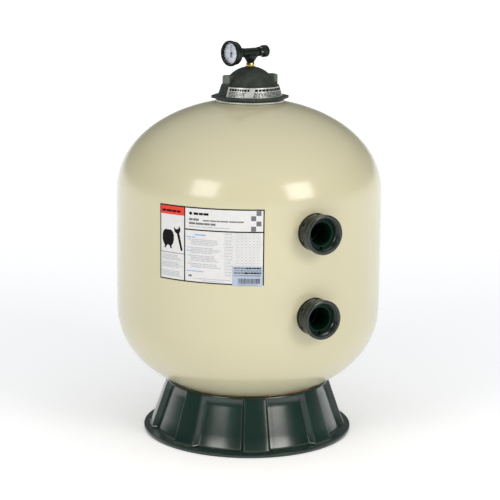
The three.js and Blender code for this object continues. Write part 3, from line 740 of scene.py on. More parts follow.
def foot_skirt():
    """The flared foot: a flat rim, then panels between pilasters, with a lip over them at the top."""
    slope = (PILASTER_R_BOTTOM - PILASTER_R_TOP) / (FOOT_TOP - FOOT_RIM)
    spokes = foot_loop(PILASTER_R_BOTTOM, 0)

    def circle(r, z):
        return [(r * x / math.hypot(x, y), r * y / math.hypot(x, y), z) for x, y, _ in spokes]

    def wall(z, out=0.0, recess=PILASTER_PROUD):
        return foot_loop(PILASTER_R_BOTTOM - slope * (z - FOOT_RIM) + out, z, recess)

    rim = [(2.6, 0), (0.8, 0.8), (0, 2.6), (0, 6.2), (0.8, 8.2), (2.8, 9), (6.5, FOOT_RIM - 0.5)]
    root = [(5.0, 0.0), (2.0, 0.7), (0.7, 2.0), (0.0, 5.0)]
    lip = [(8.0, 1.0), (7.2, 0.96), (6.4, 0.75), (5.6, 0.35), (5.0, 0.08), (4.4, 0.02)]
    top = [(0.0, 2.6), (-0.4, 1.2), (-1.2, 0.4), (-2.4, 0.0)]
    panel_top = PILASTER_R_TOP - PILASTER_PROUD
    panel_bottom = PILASTER_R_BOTTOM - PILASTER_PROUD
    loops = [circle(FOOT_R - 34, 0)]
    loops += [circle(FOOT_R - back, z) for back, z in rim]
    loops += [wall(FOOT_RIM - 0.5 + up, out) for out, up in root]
    loops += [wall(z) for z in (40, 70, 100)]
    loops += [wall(FOOT_TOP - down, 0, PILASTER_PROUD * share) for down, share in lip]
    loops += [wall(FOOT_TOP - down, out, 0.02) for out, down in top]
    loops += [circle(panel_top + 6, FOOT_TOP), circle(panel_top + 4, FOOT_TOP - 2)]
    loops += [circle(panel_top + 2, FOOT_TOP - 12), circle(panel_bottom - 5, FOOT_RIM + 2)]
    finish(loft("foot_skirt_moulding", loops, sharp=38), "tank", "foot", "foot", "foot_skirt")


def bonding_bead():
    """An uneven fillet of resin squeezed out where the tank sits in the foot, with a few drops of it."""
    rng = random.Random(4)
    base = FOOT_TOP + 0.2
    waves = [(n, rng.uniform(0.1, 0.35), rng.uniform(0, TURN)) for n in (3, 5, 8, 13, 21, 34)]
    drops = [(-15, 1.0), (74, 0.7), (163, 0.8), (-118, 0.6)]
    inner = LOWER_DOME.radius(base) + 0.6
    loops = []
    sides = 360
    for i in range(sides):
        a = TURN * i / sides
        swell = sum(size * math.sin(n * a + phase) for n, size, phase in waves)
        drop = 0.0
        for azimuth, size in drops:
            away = math.remainder(a - math.radians(azimuth), TURN) * TANK_R * 0.6
            drop += size * math.exp(-((away / 5.0) ** 2))
        tall = 1.9 + 0.45 * swell + 4.2 * drop
        upper = LOWER_DOME.radius(base + tall) + 0.5
        outer = min(inner + 3.4 + swell, PILASTER_R_TOP - 3)
        section = [
            (inner, base),
            (outer, base),
            (outer - 0.4 + 0.3 * drop, base + tall * 0.5),
            (upper + 0.4 + 1.8 * drop, base + tall * 0.95),
            (upper - 0.4, base + tall),
        ]
        loops.append([polar(r, a, z) for r, z in section])
    finish(loft("resin_bead", loops, sharp=60), "tank", "resin", "resin", "bonding_bead")


# ---------- ports ----------
def port(which):
    where = facing(0, PORTS[which])
    port_body(which, where)
    port_collar(which, where)
    nut = sleeve(TUBE_CLEAR_R, 41.2, 315.4, 326.6, 96, where, (0.4, 0.9, 0.9, 0.4), which + "_port_locknut")
    notch = [(-4, 39.6, 0.8), (4, 39.6, 0.8), (4, 45), (-4, 45)]
    cut(nut, *(prism("notch", notch, 318.5, 330, turned) for turned in around(6, where)))
    finish(nut, "tank", "port", "fitting", which + "_locknut")
    saddle(which + "_port_washer", which + "_outer_washer", PORTS[which], 42.0, 315.1, TANK_R + 0.1)
    inside = TANK_R - WALL - GAP
    saddle(which + "_port_gasket", which + "_inner_gasket", PORTS[which], 44.0, 292.2, inside)


def port_body(which, where):
    """The bulkhead tube with its inner flange, and the ledge and the notch that show in the mouth."""
    shelf = PORT_TIP - PORT_MOUTH_DEPTH
    body = lathe(which + "_port_body", [
        (PORT_BORE_R, 286, 0.6),
        (50, 286, 1.2),
        (50, 292, 0.6),
        (TUBE_R, 292, 0.5),
        (TUBE_R, shelf),
        (34.4, shelf),
        (34.4, shelf - 1.2, 0.3),
        (PORT_BORE_R + 3.4, shelf - 1.2, 0.3),
        (PORT_BORE_R + 3.4, shelf - 0.1, 0.4),
        (PORT_BORE_R, shelf - 0.1, 0.8),
    ], 96, where)
    notch = [(-3.0, -35.2), (3.0, -35.2), (2.2, -28.5, 1), (-2.2, -28.5, 1)]
    cut(body, prism("notch", notch, shelf - 8, shelf + 1, where))
    finish(body, "tank", "bore", "fitting", which + "_bulkhead")


def port_collar(which, where):
    """The collar outside the tank: stepped rings outside, and grooves like a thread's in its mouth."""
    shelf = PORT_TIP - PORT_MOUTH_DEPTH
    mouth = PORT_MOUTH_R
    outline = [
        (TUBE_CLEAR_R, 328, 0.4), (41.6, 328, 0.8), (41.6, 332.0, 0.5),
        (39.2, 333.2, 0.4), (39.2, 334.6, 0.3), (42.2, 336.4, 0.5), (42.2, 338.6, 0.5),
        (39.8, 340.2, 0.4), (39.8, 341.6, 0.3),
        (PORT_R - 0.6, 343.0, 0.6), (PORT_R, 344.8, 0.6), (PORT_R, PORT_TIP - 1.0, 1.6),
        (PORT_R - 2.4, PORT_TIP, 1.0), (mouth + 2.6, PORT_TIP, 1.0),
        (mouth + 0.6, PORT_TIP - 1.8, 0.8), (mouth + 0.6, PORT_TIP - 3.2, 0.4),
    ]
    for k in range(4):
        at = PORT_TIP - 4.2 - 2.6 * k
        outline += [(mouth - 0.5, at, 0.3), (mouth - 0.5, at - 0.8, 0.3)]
        outline += [(mouth + 0.8, at - 1.5, 0.2), (mouth + 0.8, at - 2.0, 0.2)]
    outline += [(mouth - 0.6, shelf + 1.2, 0.3), (mouth - 0.6, shelf + GAP), (TUBE_CLEAR_R, shelf + GAP)]
    collar = lathe(which + "_port_collar", outline, 128, where)
    finish(collar, "tank", "port", "fitting", which + "_port_adapter")


def saddle(name, node, z, outer, flat, tank_r):
    """A washer on the port's tube, with one flat face and one that follows a cylinder of the tank's wall."""
    ease = 0.8
    corners = ((TUBE_CLEAR_R, True, 0), (outer - ease, True, 0), (outer, True, ease), (outer, False, 0),
               (TUBE_CLEAR_R, False, 0))
    sides = 96
    loops = []
    for i in range(sides):
        loop = []
        for r, is_flat, pull in corners:
            x, up = r * math.sin(TURN * i / sides), r * math.cos(TURN * i / sides)
            wall = math.sqrt(tank_r ** 2 - x ** 2)
            away = flat - math.copysign(pull, flat - wall) if is_flat else wall
            loop.append((x, -away, z + up))
        loops.append(loop)
    finish(loft(name, loops, sharp=40), "tank", "rubber", "rubber", node)


# ---------- lid ----------
def lid_arc(radius, first, last, steps):
    angles = spread(first, last, steps)
    return [(radius * math.cos(a), LID_DOME_CENTRE + radius * math.sin(a)) for a in angles]


def lid():
    plug = 54.0
    inner = LID_DOME_R - 5
    boss = 12.0
    shoulder = math.asin((LID_SKIRT_TOP - 0.5 - LID_DOME_CENTRE) / LID_DOME_R)
    top_arc = lid_arc(LID_DOME_R, shoulder, math.acos(boss / LID_DOME_R), 16)
    low_arc = lid_arc(inner, math.pi / 2, math.acos(plug / inner), 14)
    body = lathe("lid_moulding", [
        (plug, LID_BOTTOM, 0.8),
        (CORE_R, LID_BOTTOM, 1.2),
        (CORE_R, LID_FLANGE_LOW - 0.2),
        (74, LID_FLANGE_LOW - 0.2),
        (74, LID_FLANGE_TOP - 2),
        (LID_SKIRT_R[0] + 3.0, LID_FLANGE_TOP - 0.2),
        (LID_SKIRT_R[0] - 0.2, LID_FLANGE_TOP + 0.8, 1.6),
        (LID_SKIRT_R[1], LID_SKIRT_TOP - 1.0, 1.6),
        (top_arc[0][0] + 1.6, LID_SKIRT_TOP, 0.8),
        *top_arc,
        (boss - 0.4, LID_TOP - 0.2, 0.8),
        (7.2, LID_TOP),
        (7.2, LID_TOP - 12),
        (7.2, low_arc[0][1] - 0.1),
        *low_arc[2:],
    ], 144)
    octagon = polygon(8, LID_CORNER, 5, first=-1.5)
    flange = prism("flange", octagon, LID_FLANGE_LOW, LID_FLANGE_TOP, steps=6, bevel=1.3)
    cut(flange, rod(58, 780, 812, 96))
    lug = [(60.5, 812), (67.8, 812), (68, 849, 4.5), (44, 849), (50, 840), (56, 829)]
    places = [swing(turn, "Z") @ swing(90, "X") for turn in (0, 180)]
    lugs = [prism("lug", lug, -10, 10, place, steps=5, bevel=1.8) for place in places]
    ridge = thread("ridge", CORE_R, CORE_R + 2.9, THREAD_START + THREAD["pitch"] / 2, **THREAD)
    finish(combine(body, flange, ridge, *lugs), "closure", "lid", "lid", "closure_lid")


def oring():
    section = polygon(16, 1.35, centre=(70, (NECK_TOP + LID_FLANGE_LOW) / 2))
    finish(lathe("lid_oring", section, 128, sharp=80), "seal", "rubber", "rubber", "closure_oring")


def brass_adapter():
    z = LID_TOP + GAP
    body = prism("brass_hex_adapter", polygon(6, 10.6, 0.6), z, z + 7.6, steps=3, bevel=0.4)
    chamfer = [(0, z - 1), (10.2, z - 1), (10.2, z + 0.2), (10.5, z + 4.5), (9.0, z + 7.8), (0, z + 7.8)]
    combine(body, lathe("chamfer", chamfer, 64), operation="INTERSECT")
    combine(body, sleeve(3.4, 6.4, 848.2, 883.8, 48, ease=(0, 0.6, 0.8, 0)))
    cut(body, rod(3.4, 840, 890))
    finish(body, "closure", "brass", "brass", "brass_adapter")


# ---------- printed labels ----------
FILM = 0.06
BACKING, PAPER, PRINT, OVERLAY, OVERPRINT = 1, 2, 3, 5, 7
LABEL_START, LABEL_END = -66.9, -21.7
BAND_START, BAND_END = -75.0, 78.0


class Sheet:
    """Printed patches on a cone about the tank's axis: x runs round it in millimetres and z is height."""

    def __init__(self, azimuth, radius_at, lift, seed):
        self.azimuth = azimuth
        self.radius_at = radius_at
        self.lift = lift
        self.rng = random.Random(seed)
        self.verts = []
        self.faces = []
        self.inks = []
        self.kinds = []

    def point(self, x, z, lift):
        r = self.radius_at(z)
        return polar(r + lift, math.radians(self.azimuth) + x / r, z)

    def slab(self, rows, faces, ink, layer):
        """A closed thin slab of one ink. Rows are its corners as (x, z), and faces are its printed side."""
        if ink not in self.kinds:
            self.kinds.append(ink)
        top = self.lift * layer
        start, count = len(self.verts), len(rows)
        self.verts += [self.point(x, z, top) for x, z in rows]
        self.verts += [self.point(x, z, top - FILM) for x, z in rows]
        edges = {(a, b) for face in faces for a, b in zip(face, face[1:] + face[:1])}
        made = [[start + k for k in face] for face in faces]
        made += [[start + count + k for k in face[::-1]] for face in faces]
        for a, b in sorted(edges):
            if (b, a) not in edges:
                made.append([start + a, start + count + a, start + count + b, start + b])
        self.faces += made
        self.inks += [self.kinds.index(ink)] * len(made)

    def shape(self, outline, ink, layer=PRINT):
        """A printed shape, cut in fan slices from its middle."""
        count = len(outline)
        centre = (sum(p[0] for p in outline) / count, sum(p[1] for p in outline) / count)
        faces = [[count, k, (k + 1) % count] for k in range(count)]
        self.slab([*outline, centre], faces, ink, layer)

    def bar(self, x0, x1, z0, z1, ink, layer=PRINT, upper=1.0):
        """A rectangle, split along its length so that it follows the curve. Its upper edge may be shorter."""
        edge = spread(x0, x1, max(1, math.ceil(abs(x1 - x0) / 5)))
        rows = [(x, z0) for x in edge] + [(x * upper, z1) for x in edge]
        count = len(edge)
        faces = [[k, k + 1, count + 1 + k, count + k] for k in range(count - 1)]
        self.slab(rows, faces, ink, layer)

    def words(self, x0, x1, z, tall, ink, short=5.0, long=15.0, layer=PRINT):
        """A row of word-like dashes that stands for a line of print."""
        x = x0
        while x < x1 - short:
            end = min(x1, x + self.rng.uniform(short, long))
            self.bar(x, end, z - tall / 2, z + tall / 2, ink, layer)
            x = end + self.rng.uniform(0.9, 1.8)

    def done(self, name, body, slot, node):
        piece = make(name, self.verts, self.faces, sharp=20, merge=False)
        for ink in self.kinds:
            piece.data.materials.append(MATERIALS[ink])
        for face, kind in zip(piece.data.polygons, self.inks):
            face.material_index = kind
        finish(piece, body, None, slot, node)


def instruction_label():
    """A printed sheet in three framed fields: a picture column, a header and a body of small print."""
    z0, z1 = low("instruction_label")[2], high("instruction_label")[2]
    radius = TANK_R + GAP
    wide = math.radians(LABEL_END - LABEL_START) * radius
    sheet = Sheet(LABEL_START, lambda z: radius, 0.12, seed=11)
    border, line = 2.7, 1.45
    column = 65.9
    header = z1 - 50.3
    left, right = column + line, wide - border
    sheet.bar(0, wide, z0, z1, "ink", BACKING)
    sheet.bar(border, column - line, z0 + border, z1 - border, "paper", PAPER)
    sheet.bar(left, right, z0 + border, header - line, "paper", PAPER)
    sheet.bar(left, right, header + line, z1 - border, "paper", PAPER)
    picture_column(sheet, border, column - line, z0, z1 - border)
    header_marks(sheet, 76.5, wide - 6.5, header + line, z1 - border)
    text_block(sheet, 70.5, 153, z0, header - line)
    table_block(sheet, 159, 236.5, z0 + 17.3, header - 2.4)
    rating_sticker(sheet, 176, 243, z0 - 1.8, z0 + 42)
    sheet.done("printed_label", "tank", "label", "instruction_label")


def picture_column(sheet, x0, x1, z0, z1):
    """A red band, a plain picture of a tank and a spanner, and lines of print."""
    sheet.bar(x0, x1, z1 - 18.6, z1, "red_ink")
    sheet.words(x0 + 4, x1 - 4, z1 - 10.5, 4.6, "ink", 8, 14, OVERLAY)
    half = [(11, -19), (8.5, -14), (13, -8), (15.5, 0), (15.5, 11), (13, 18), (8, 22.5)]
    tank = [(-x, z) for x, z in half] + half[::-1]
    sheet.shape([(x + 22.5, z + z0 + 90) for x, z in tank], "ink")
    half = [(1.9, -22), (2.4, 8), (5.5, 11), (6.4, 16), (4.6, 20), (2.6, 15.4)]
    spanner = half + [(-x, z) for x, z in half[::-1]]
    tilt = math.radians(14)
    c, s = math.cos(tilt), math.sin(tilt)
    turned = [(x * c - z * s, x * s + z * c) for x, z in spanner]
    sheet.shape([(1.3 * x + 51.5, 1.3 * z + z0 + 96) for x, z in turned], "ink")
    line = z0 + 61
    sheet.bar(x0, x1, line, line + 1.0, "ink")
    z = line - 5
    while z > z0 + 8:
        if sheet.rng.random() > 0.12:
            sheet.words(x0 + 3, x1 - sheet.rng.uniform(3, 14), z, 1.5, "pale_print")
        z -= 3.3


def header_marks(sheet, x0, x1, z0, z1):
    """A plain dot, lines of heading and two columns of grey squares."""
    sheet.shape(polygon(24, 3.6, centre=(x0 + 4, z1 - 11.5)), "ink")
    sheet.words(x0 + 11, x0 + 54, z1 - 11.5, 5.2, "ink", 9, 17)
    sheet.words(x0, x0 + 31, z1 - 24.5, 4.8, "fine_print", 8, 14)
    sheet.words(x0 + 33, x0 + 124, z1 - 25.5, 3.0, "fine_print", 8, 18)
    sheet.words(x0, x0 + 62, z1 - 33.2, 4.6, "fine_print", 8, 18)
    sheet.words(x0, x0 + 97, z1 - 40.2, 2.0, "pale_print")
    rows = 4
    side = (z1 - z0) / rows
    inset = 0.4
    for k in range(rows):
        left, bottom = x1 - side * (2 - k % 2), z0 + side * k
        sheet.bar(left + inset, left + side - inset, bottom + inset, bottom + side - inset, "fine_print")


def text_block(sheet, x0, x1, z0, z1):
    """Headings in blue over short paragraphs of fine print."""
    sheet.words(x0 + 20, x0 + 50, z1 - 9, 3.0, "blue_ink", 9, 14)
    sheet.words(x0, x0 + 22, z1 - 15, 2.0, "blue_ink", 6, 12)
    z = z1 - 20
    row = 0
    while z > z0 + 32:
        row += 1
        if row % 5:
            indent = 2 if row % 5 == 1 else 11
            sheet.words(x0 + indent, x1 - sheet.rng.uniform(0, 18), z, 1.6, "pale_print")
        if row == 8:
            sheet.words(x0 + 1, x0 + 15, z, 2.0, "blue_ink", 5, 9)
        z -= 3.6
    sheet.words(x0 + 1, x0 + 49, z0 + 26, 2.0, "blue_ink", 8, 15)
    sheet.bar(x0 + 5, x0 + 13, z0 + 13, z0 + 17.4, "fine_print")
    sheet.words(x0 + 17, x1 + 18, z0 + 10, 1.6, "pale_print")
    sheet.words(x0 + 38, x1 + 4, z0 + 5.8, 1.4, "pale_print")


def table_block(sheet, x0, x1, z0, z1):
    """A ruled table: thin lines, a first column of words and short marks in its cells."""
    rows, columns = 14, 6
    first = 25.0
    for z in spread(z0, z1, rows):
        sheet.bar(x0, x1, z - 0.18, z + 0.18, "pale_print")
    edges = [x0, *(x0 + first + (x1 - x0 - first) * k / columns for k in range(columns + 1))]
    for x in edges:
        sheet.bar(x - 0.22, x + 0.22, z0, z1, "pale_print")
    for k in range(rows):
        z = z0 + (z1 - z0) * (k + 0.5) / rows
        sheet.words(x0 + 2, x0 + first - sheet.rng.uniform(3, 11), z, 1.8, "pale_print", 3, 7)
        for a, b in zip(edges[1:], edges[2:]):
            sheet.bar((a + b) / 2 - 1.8, (a + b) / 2 + 1.8, z - 0.8, z + 0.8, "pale_print")


def rating_sticker(sheet, x0, x1, z0, z1):
    """A pale blue sticker over the corner of the label, with plain bars and dashes."""
    rng = sheet.rng
    sheet.bar(x0, x1, z0, z1, "sticker", OVERLAY)
    for down, split, tall in ((4, 27, 3.2), (9.4, 17, 1.6), (14.6, 24, 3.6), (20.4, 17, 1.4)):
        x = x0 + 4
        while x < x1 - 5:
            wide = rng.uniform(3.5, 8)
            ink = "fine_print" if x < x0 + split else "ink"
            sheet.bar(x, min(x + wide, x1 - 4), z1 - down - tall / 2, z1 - down + tall / 2, ink, OVERPRINT)
            x += wide + 0.9
    x = x0 + 13
    while x < x1 - 8:
        wide = rng.choice((0.6, 1.0, 1.5))
        sheet.bar(x, x + wide, z0 + 5.5, z0 + 17, "ink", OVERPRINT)
        x += wide + rng.choice((0.7, 1.0, 1.4))
    sheet.words(x0 + 13, x1 - 8, z0 + 2.6, 1.6, "fine_print", 1.5, 3, OVERPRINT)


def lid_label():
    """The foil band round the lid's skirt, with plain dashes for its print."""
    z0, z1 = low("lid_label")[2], high("lid_label")[2]
    lower, upper = LID_SKIRT_R
    slope = (upper - lower) / (LID_SKIRT_TOP - 1 - LID_FLANGE_TOP)

    def radius_at(z):
        return lower + slope * (z - LID_FLANGE_TOP) + 0.25

    sheet = Sheet(BAND_START, radius_at, 0.1, seed=7)
    wide = math.radians(BAND_END - BAND_START) * radius_at(z0)
    sheet.bar(0, wide, z0, z1, "foil", BACKING, radius_at(z1) / radius_at(z0))
    start, second, last = 6, wide * 0.34, wide * 0.8
    sheet.words(start, wide * 0.3, z1 - 5.4, 5.2, "ink", 4, 8)
    sheet.words(second, last, z1 - 5.4, 5.2, "ink", 4, 9)
    for row in range(4):
        z = z1 - 11.0 - 2.9 * row
        sheet.words(start, wide * 0.25, z, 1.8, "ink", 3, 7)
        sheet.words(second, last, z, 1.8, "ink", 4, 9)
    sheet.done("lid_foil_label", "closure", "foil", "lid_label")


# ---------- relief valve and gauge ----------
def valve_tee():
    bottom = LID_TOP + 8.2 - VALVE_Z
    down = HEAD @ swing(-90, "X")
    foot = lathe("relief_valve_tee", [
        (0, bottom), (8.4, bottom, 0.8), (9.2, bottom + 2.5, 1), (13.8, bottom + 10.5, 1.5),
        (13.9, bottom + 16, 2), (9.4, -1, 1), (0, -1),
    ], 48, down)
    run = lathe("run", [(0, -22), (9.0, -22, 0.8), (9.6, -18, 1), (9.6, 24), (0, 24)], 48, HEAD)
    collar = prism("collar", polygon(6, 11.9, 0.8), 24, 33, HEAD, steps=3, bevel=0.7)
    spout = rod(7, -39, -20, 48, HEAD, (0.6, 0))
    # The web lies in the plane of the valve's axis and the upright, so it is drawn sideways across it.
    across = HEAD @ swing(-90, "Y")
    web = [(-21.4, -4), (-21.4, -10.4, 1), (-8, bottom + 4, 2), (0, bottom + 4), (0, -4)]
    web = prism("web", web, -4.0, 4.0, across, bevel=0.9)
    rib = [(22.5, -5), (22.5, -9.5, 1), (12.5, -15.5, 1.5), (8, -17), (8, -5)]
    rib = prism("rib", rib, -2.6, 2.6, across, bevel=0.6)
    peg = rod(3.1, 9, 15.2, 24, HEAD @ move(y=-13.0) @ swing(8, "Y"), (0.5, 1.0))
    combine(foot, run, collar, spout, web, rib, peg)
    bores = [rod(6.8, bottom - 1, bottom + 9, where=down), rod(3.2, bottom, 0, where=down)]
    bores += [rod(3.6, -50, 20, where=HEAD), rod(5.4, 19.6, 40, where=HEAD)]
    finish(cut(foot, *bores), "closure", "valve", "fitting", "valve_tee")


def relief_knob():
    body = lathe("relief_knob_cap", [
        (0, -50.5),
        (11.6, -50.5, 1.2),
        (14.0, -48.6, 1.4),
        (14.0, -38.5, 1.4),
        (11.2, -34.0, 1.2),
        (10.8, -23.0, 0.8),
        (7.6, -23.0, 0.4),
        (7.6, -39.6),
        (0, -39.6),
    ], 72, HEAD)
    cut(body, *(rod(1.0, -48.5, -30, 16, turned @ move(14.45), (0.5, 0)) for turned in around(12, HEAD, 0.5)))
    finish(body, "relief_valve", "valve", "fitting", "relief_knob")
    stem = [(0, -39.2), (2.6, -39.2, 0.4), (2.6, -20), (2.0, -18.4), (2.6, -16.8), (2.6, -14, 0.8), (0, -14)]
    stem = lathe("relief_stem_rod", stem, 32, HEAD)
    finish(stem, "relief_valve", "valve", "fitting", "relief_stem")
    # Local Z of an arrow points out from the valve's axis, through the cap's neck.
    arrow = [(-2.4, -0.5), (0.6, -0.5), (0.6, -1.5), (2.8, 0), (0.6, 1.5), (0.6, 0.5), (-2.4, 0.5)]
    outward = [turned @ move(z=-28.5) @ swing(90, "Y") for turned in around(6, HEAD)]
    marks = join("relief_knob_marks", [prism("mark", arrow, 10.7, 11.1, where) for where in outward])
    finish(marks, "relief_valve", "mark", "fitting")


def gauge():
    case = lathe("gauge_case_shell", [
        (0, GAUGE_BACK), (CASE_R - 4, GAUGE_BACK, 1), (CASE_R - 0.4, GAUGE_BACK + 2.4, 2.4),
        (CASE_R, GAUGE_BACK + 6, 1), (CASE_R, GAUGE_FACE - 4, 0.4), (CASE_R - 1.8, GAUGE_FACE - 4, 0.4),
        (CASE_R - 1.8, GAUGE_BACK + 2), (0, GAUGE_BACK + 2),
    ], 96, HEAD)
    finish(case, "closure", "valve", "fitting", "gauge_case")
    bezel = lathe("gauge_bezel_ring", [
        (CASE_R + GAP, GAUGE_FACE - 8, 0.3), (GAUGE_R - 0.8, GAUGE_FACE - 8, 0.8),
        (GAUGE_R, GAUGE_FACE - 6.2, 0.8), (GAUGE_R, GAUGE_FACE - 2.2, 1.4),
        (GAUGE_R - 1.8, GAUGE_FACE, 1.0), (DIAL_R + 1.2, GAUGE_FACE, 0.8),
        (DIAL_R + 0.1, GAUGE_FACE - 1.5, 0.3), (CASE_R + GAP, GAUGE_FACE - 1.5, 0.2),
    ], 128, HEAD)
    finish(bezel, "closure", "valve", "fitting", "gauge_bezel")
    window = lathe("gauge_window", [
        (0, GAUGE_FACE - 3.6), (CASE_R - 2.2, GAUGE_FACE - 3.6, 0.4), (CASE_R - 2.2, GAUGE_FACE - 1.9, 0.4),
        (CASE_R - 8, GAUGE_FACE - 1.8), (0, GAUGE_FACE - 1.8),
    ], 96, HEAD)
    finish(window, "closure", "window", "lens", "gauge_lens")
    plate = sleeve(1.9, DIAL_R, 57.6, 58.4, 96, HEAD, (0, 0.2, 0.2, 0), "gauge_dial_plate")
    finish(plate, "closure", "dial", "label", "gauge_dial")
    dial_marks()
    gauge_socket()
    needle()
    movement()


def gauge_socket():
    square = polygon(4, 7.1, 0.8, first=0.5)
    body = prism("gauge_socket_square", square, 33.3, GAUGE_BACK - GAP, HEAD, bevel=0.5)
    combine(body, rod(5, 24, 34, where=HEAD, ease=(0.5, 0)))
    cut(body, rod(1.6, 20, 44, 24, HEAD))
    finish(body, "closure", "brass", "brass", "gauge_socket")


def dial_spot(value, r):
    """A place on the dial: 0 is low on the left, half scale is at the top, and the numbers run clockwise."""
    a = math.radians(-SCALE_SWEEP / 2 + SCALE_SWEEP * value / SCALE_TOP)
    return r * math.sin(a), r * math.cos(a), a


def tick(value):
    """A line of the scale, long at every tenth."""
    x, y, a = dial_spot(value, DIAL_R - 1.6)
    half, length = (0.17, 2.0) if value % 10 else (0.34, 3.4)
    outline = []
    for across, inward in ((-half, length), (half, length), (half, 0), (-half, 0)):
        outline.append((x + across * math.cos(a) - inward * math.sin(a),
                        y - across * math.sin(a) - inward * math.cos(a)))
    return prism("tick", outline, DIAL_FACE, DIAL_FACE + INK_THICK, HEAD)


def numeral(value):
    """The figures of a tenth as a closed solid on the dial's face."""
    curve = bpy.data.curves.new("numeral", "FONT")
    curve.body = str(value)
    curve.size = 4.6
    curve.align_x = "CENTER"
    curve.align_y = "CENTER"
    curve.extrude = INK_THICK / 2
    curve.resolution_u = 3
    source = show("numeral", curve)
    graph = bpy.context.evaluated_depsgraph_get()
    mesh = bpy.data.meshes.new_from_object(source.evaluated_get(graph))
    bpy.data.objects.remove(source)
    x, y, _ = dial_spot(value, DIAL_R - 8.0)
    mesh.transform(Matrix.Scale(MM, 4) @ HEAD @ move(x, y, DIAL_FACE + INK_THICK / 2))
    return show("numeral", mesh)


def dial_marks():
    inner, outer = DIAL_R - 1.35, DIAL_R - 1.05
    parts = [tick(value) for value in range(0, SCALE_TOP + 1, 2)]
    parts.append(sleeve(inner, outer, DIAL_FACE, DIAL_FACE + INK_THICK, 96, HEAD))
    parts += [numeral(value) for value in range(0, SCALE_TOP + 1, 10)]
    finish(join("gauge_dial_scale", parts), "closure", "ink", "label")
    spots = []
    for value in (8, 18, 42, 52):
        spot = polygon(12, 0.8, centre=dial_spot(value, DIAL_R - 12.2))
        spots.append(prism("spot", spot, DIAL_FACE, DIAL_FACE + INK_THICK, HEAD))
    finish(join("gauge_dial_spots", spots), "closure", "red_ink", "label")


def needle():
    outline = [
        (-1.7, -9.5, 0.5), (1.7, -9.5, 0.5), (1.2, -2), (0.9, 2),
        (0.3, 19.5, 0.1), (-0.3, 19.5, 0.1), (-0.9, 2), (-1.2, -2),
    ]
    body = prism("gauge_pointer", outline, 60.6, 61.3, HEAD, bevel=0.12)
    hub = lathe("hub", [(0, 60.3), (2.6, 60.3, 0.2), (2.6, 61.6, 0.5), (0, 62.0)], 48, HEAD)
    combine(body, hub, rod(1.1, 56.5, 60.8, 24, HEAD))
    finish(body, "needle", "ink", "needle", "gauge_needle")


def movement():
    """The curved pressure tube and its block, behind the dial."""
    oval = polygon(12, 1.6, centre=(16.2, 51.5), tall=2.4)
    loops = []
    for degrees in spread(-60, 200, 32):
        c, s = math.cos(math.radians(degrees)), math.sin(math.radians(degrees))
        loops.append([(r * c, r * s, z) for r, z in oval])
    body = loft("gauge_pressure_tube", loops, HEAD, sharp=50, capped=True)
    block = prism("block", oblong(-7, 7, -12, 7, 1), 48.7, 53, HEAD, bevel=0.4)
    bridge = prism("bridge", oblong(6, 11, -15, -8, 1), 49.3, 53.6, HEAD, bevel=0.4)
    combine(body, block, bridge)
    cut(body, rod(1.7, 40, 60, 24, HEAD))
    finish(body, "closure", "brass", "brass", "gauge_movement")


# ---------- drain ----------
def bowl_solid(inset):
    """The tank's lower end as a solid, moved in by an inset, to fit a piece to the wall."""
    full = TANK_R - inset
    return lathe("bowl", [*LOWER_DOME.arc(full, 0, inset, 60), (0, 330), (full, 330)], 160)


def drain():
    clear = DRAIN_TUBE + GAP
    spigot = sleeve(12, DRAIN_TUBE, 236, DRAIN_MOUTH, 72, DRAIN, (0.6, 0.8, 0.6, 0.6), "drain_spigot_tube")
    finish(spigot, "tank", "port", "fitting", "drain_spigot")
    collar = sleeve(clear, 27, 240, DRAIN_COLLAR, 72, DRAIN, (0, 0, 2.0, 0.5), "drain_boss")
    cut(collar, bowl_solid(-0.2))
    finish(collar, "tank", "port", "fitting", "drain_collar")
    gasket = sleeve(clear, 26.8, 238.2, 280, 72, DRAIN, (0.5, 0.9, 0, 0), "drain_inner_gasket")
    combine(gasket, bowl_solid(WALL + GAP), operation="INTERSECT")
    finish(gasket, "tank", "rubber", "rubber", "drain_gasket")
    seat, crown = DRAIN_MOUTH + GAP, DRAIN_MOUTH + 2.5
    seal = sleeve(12.5, DRAIN_TUBE, seat, crown, 72, DRAIN, (0.4, 0.8, 0.8, 0.4), "drain_seal_ring")
    finish(seal, "cap_seal", "rubber", "rubber", "drain_cap_seal")
    cap = lathe("drain_screw_cap", [
        (0, DRAIN_MOUTH + 2.8), (DRAIN_TUBE + 0.6, DRAIN_MOUTH + 2.8),
        (DRAIN_TUBE + 0.6, DRAIN_COLLAR + 1, 0.4), (DRAIN_CAP_R, DRAIN_COLLAR + 1, 0.8),
        (DRAIN_CAP_R, DRAIN_TIP, 2.6), (DRAIN_CAP_R - 7, DRAIN_TIP, 0.6),
        (DRAIN_CAP_R - 8, DRAIN_TIP - 1.2, 0.6), (0, DRAIN_TIP - 1.2),
    ], 96, DRAIN)
    places = [turned @ move(DRAIN_CAP_R + 0.7) for turned in around(24, DRAIN)]
    cut(cap, *(rod(1.6, DRAIN_COLLAR + 4, DRAIN_TIP - 4, 16, place, (0.5, 1.5)) for place in places))
    finish(cap, "cap", "port", "fitting", "drain_cap")


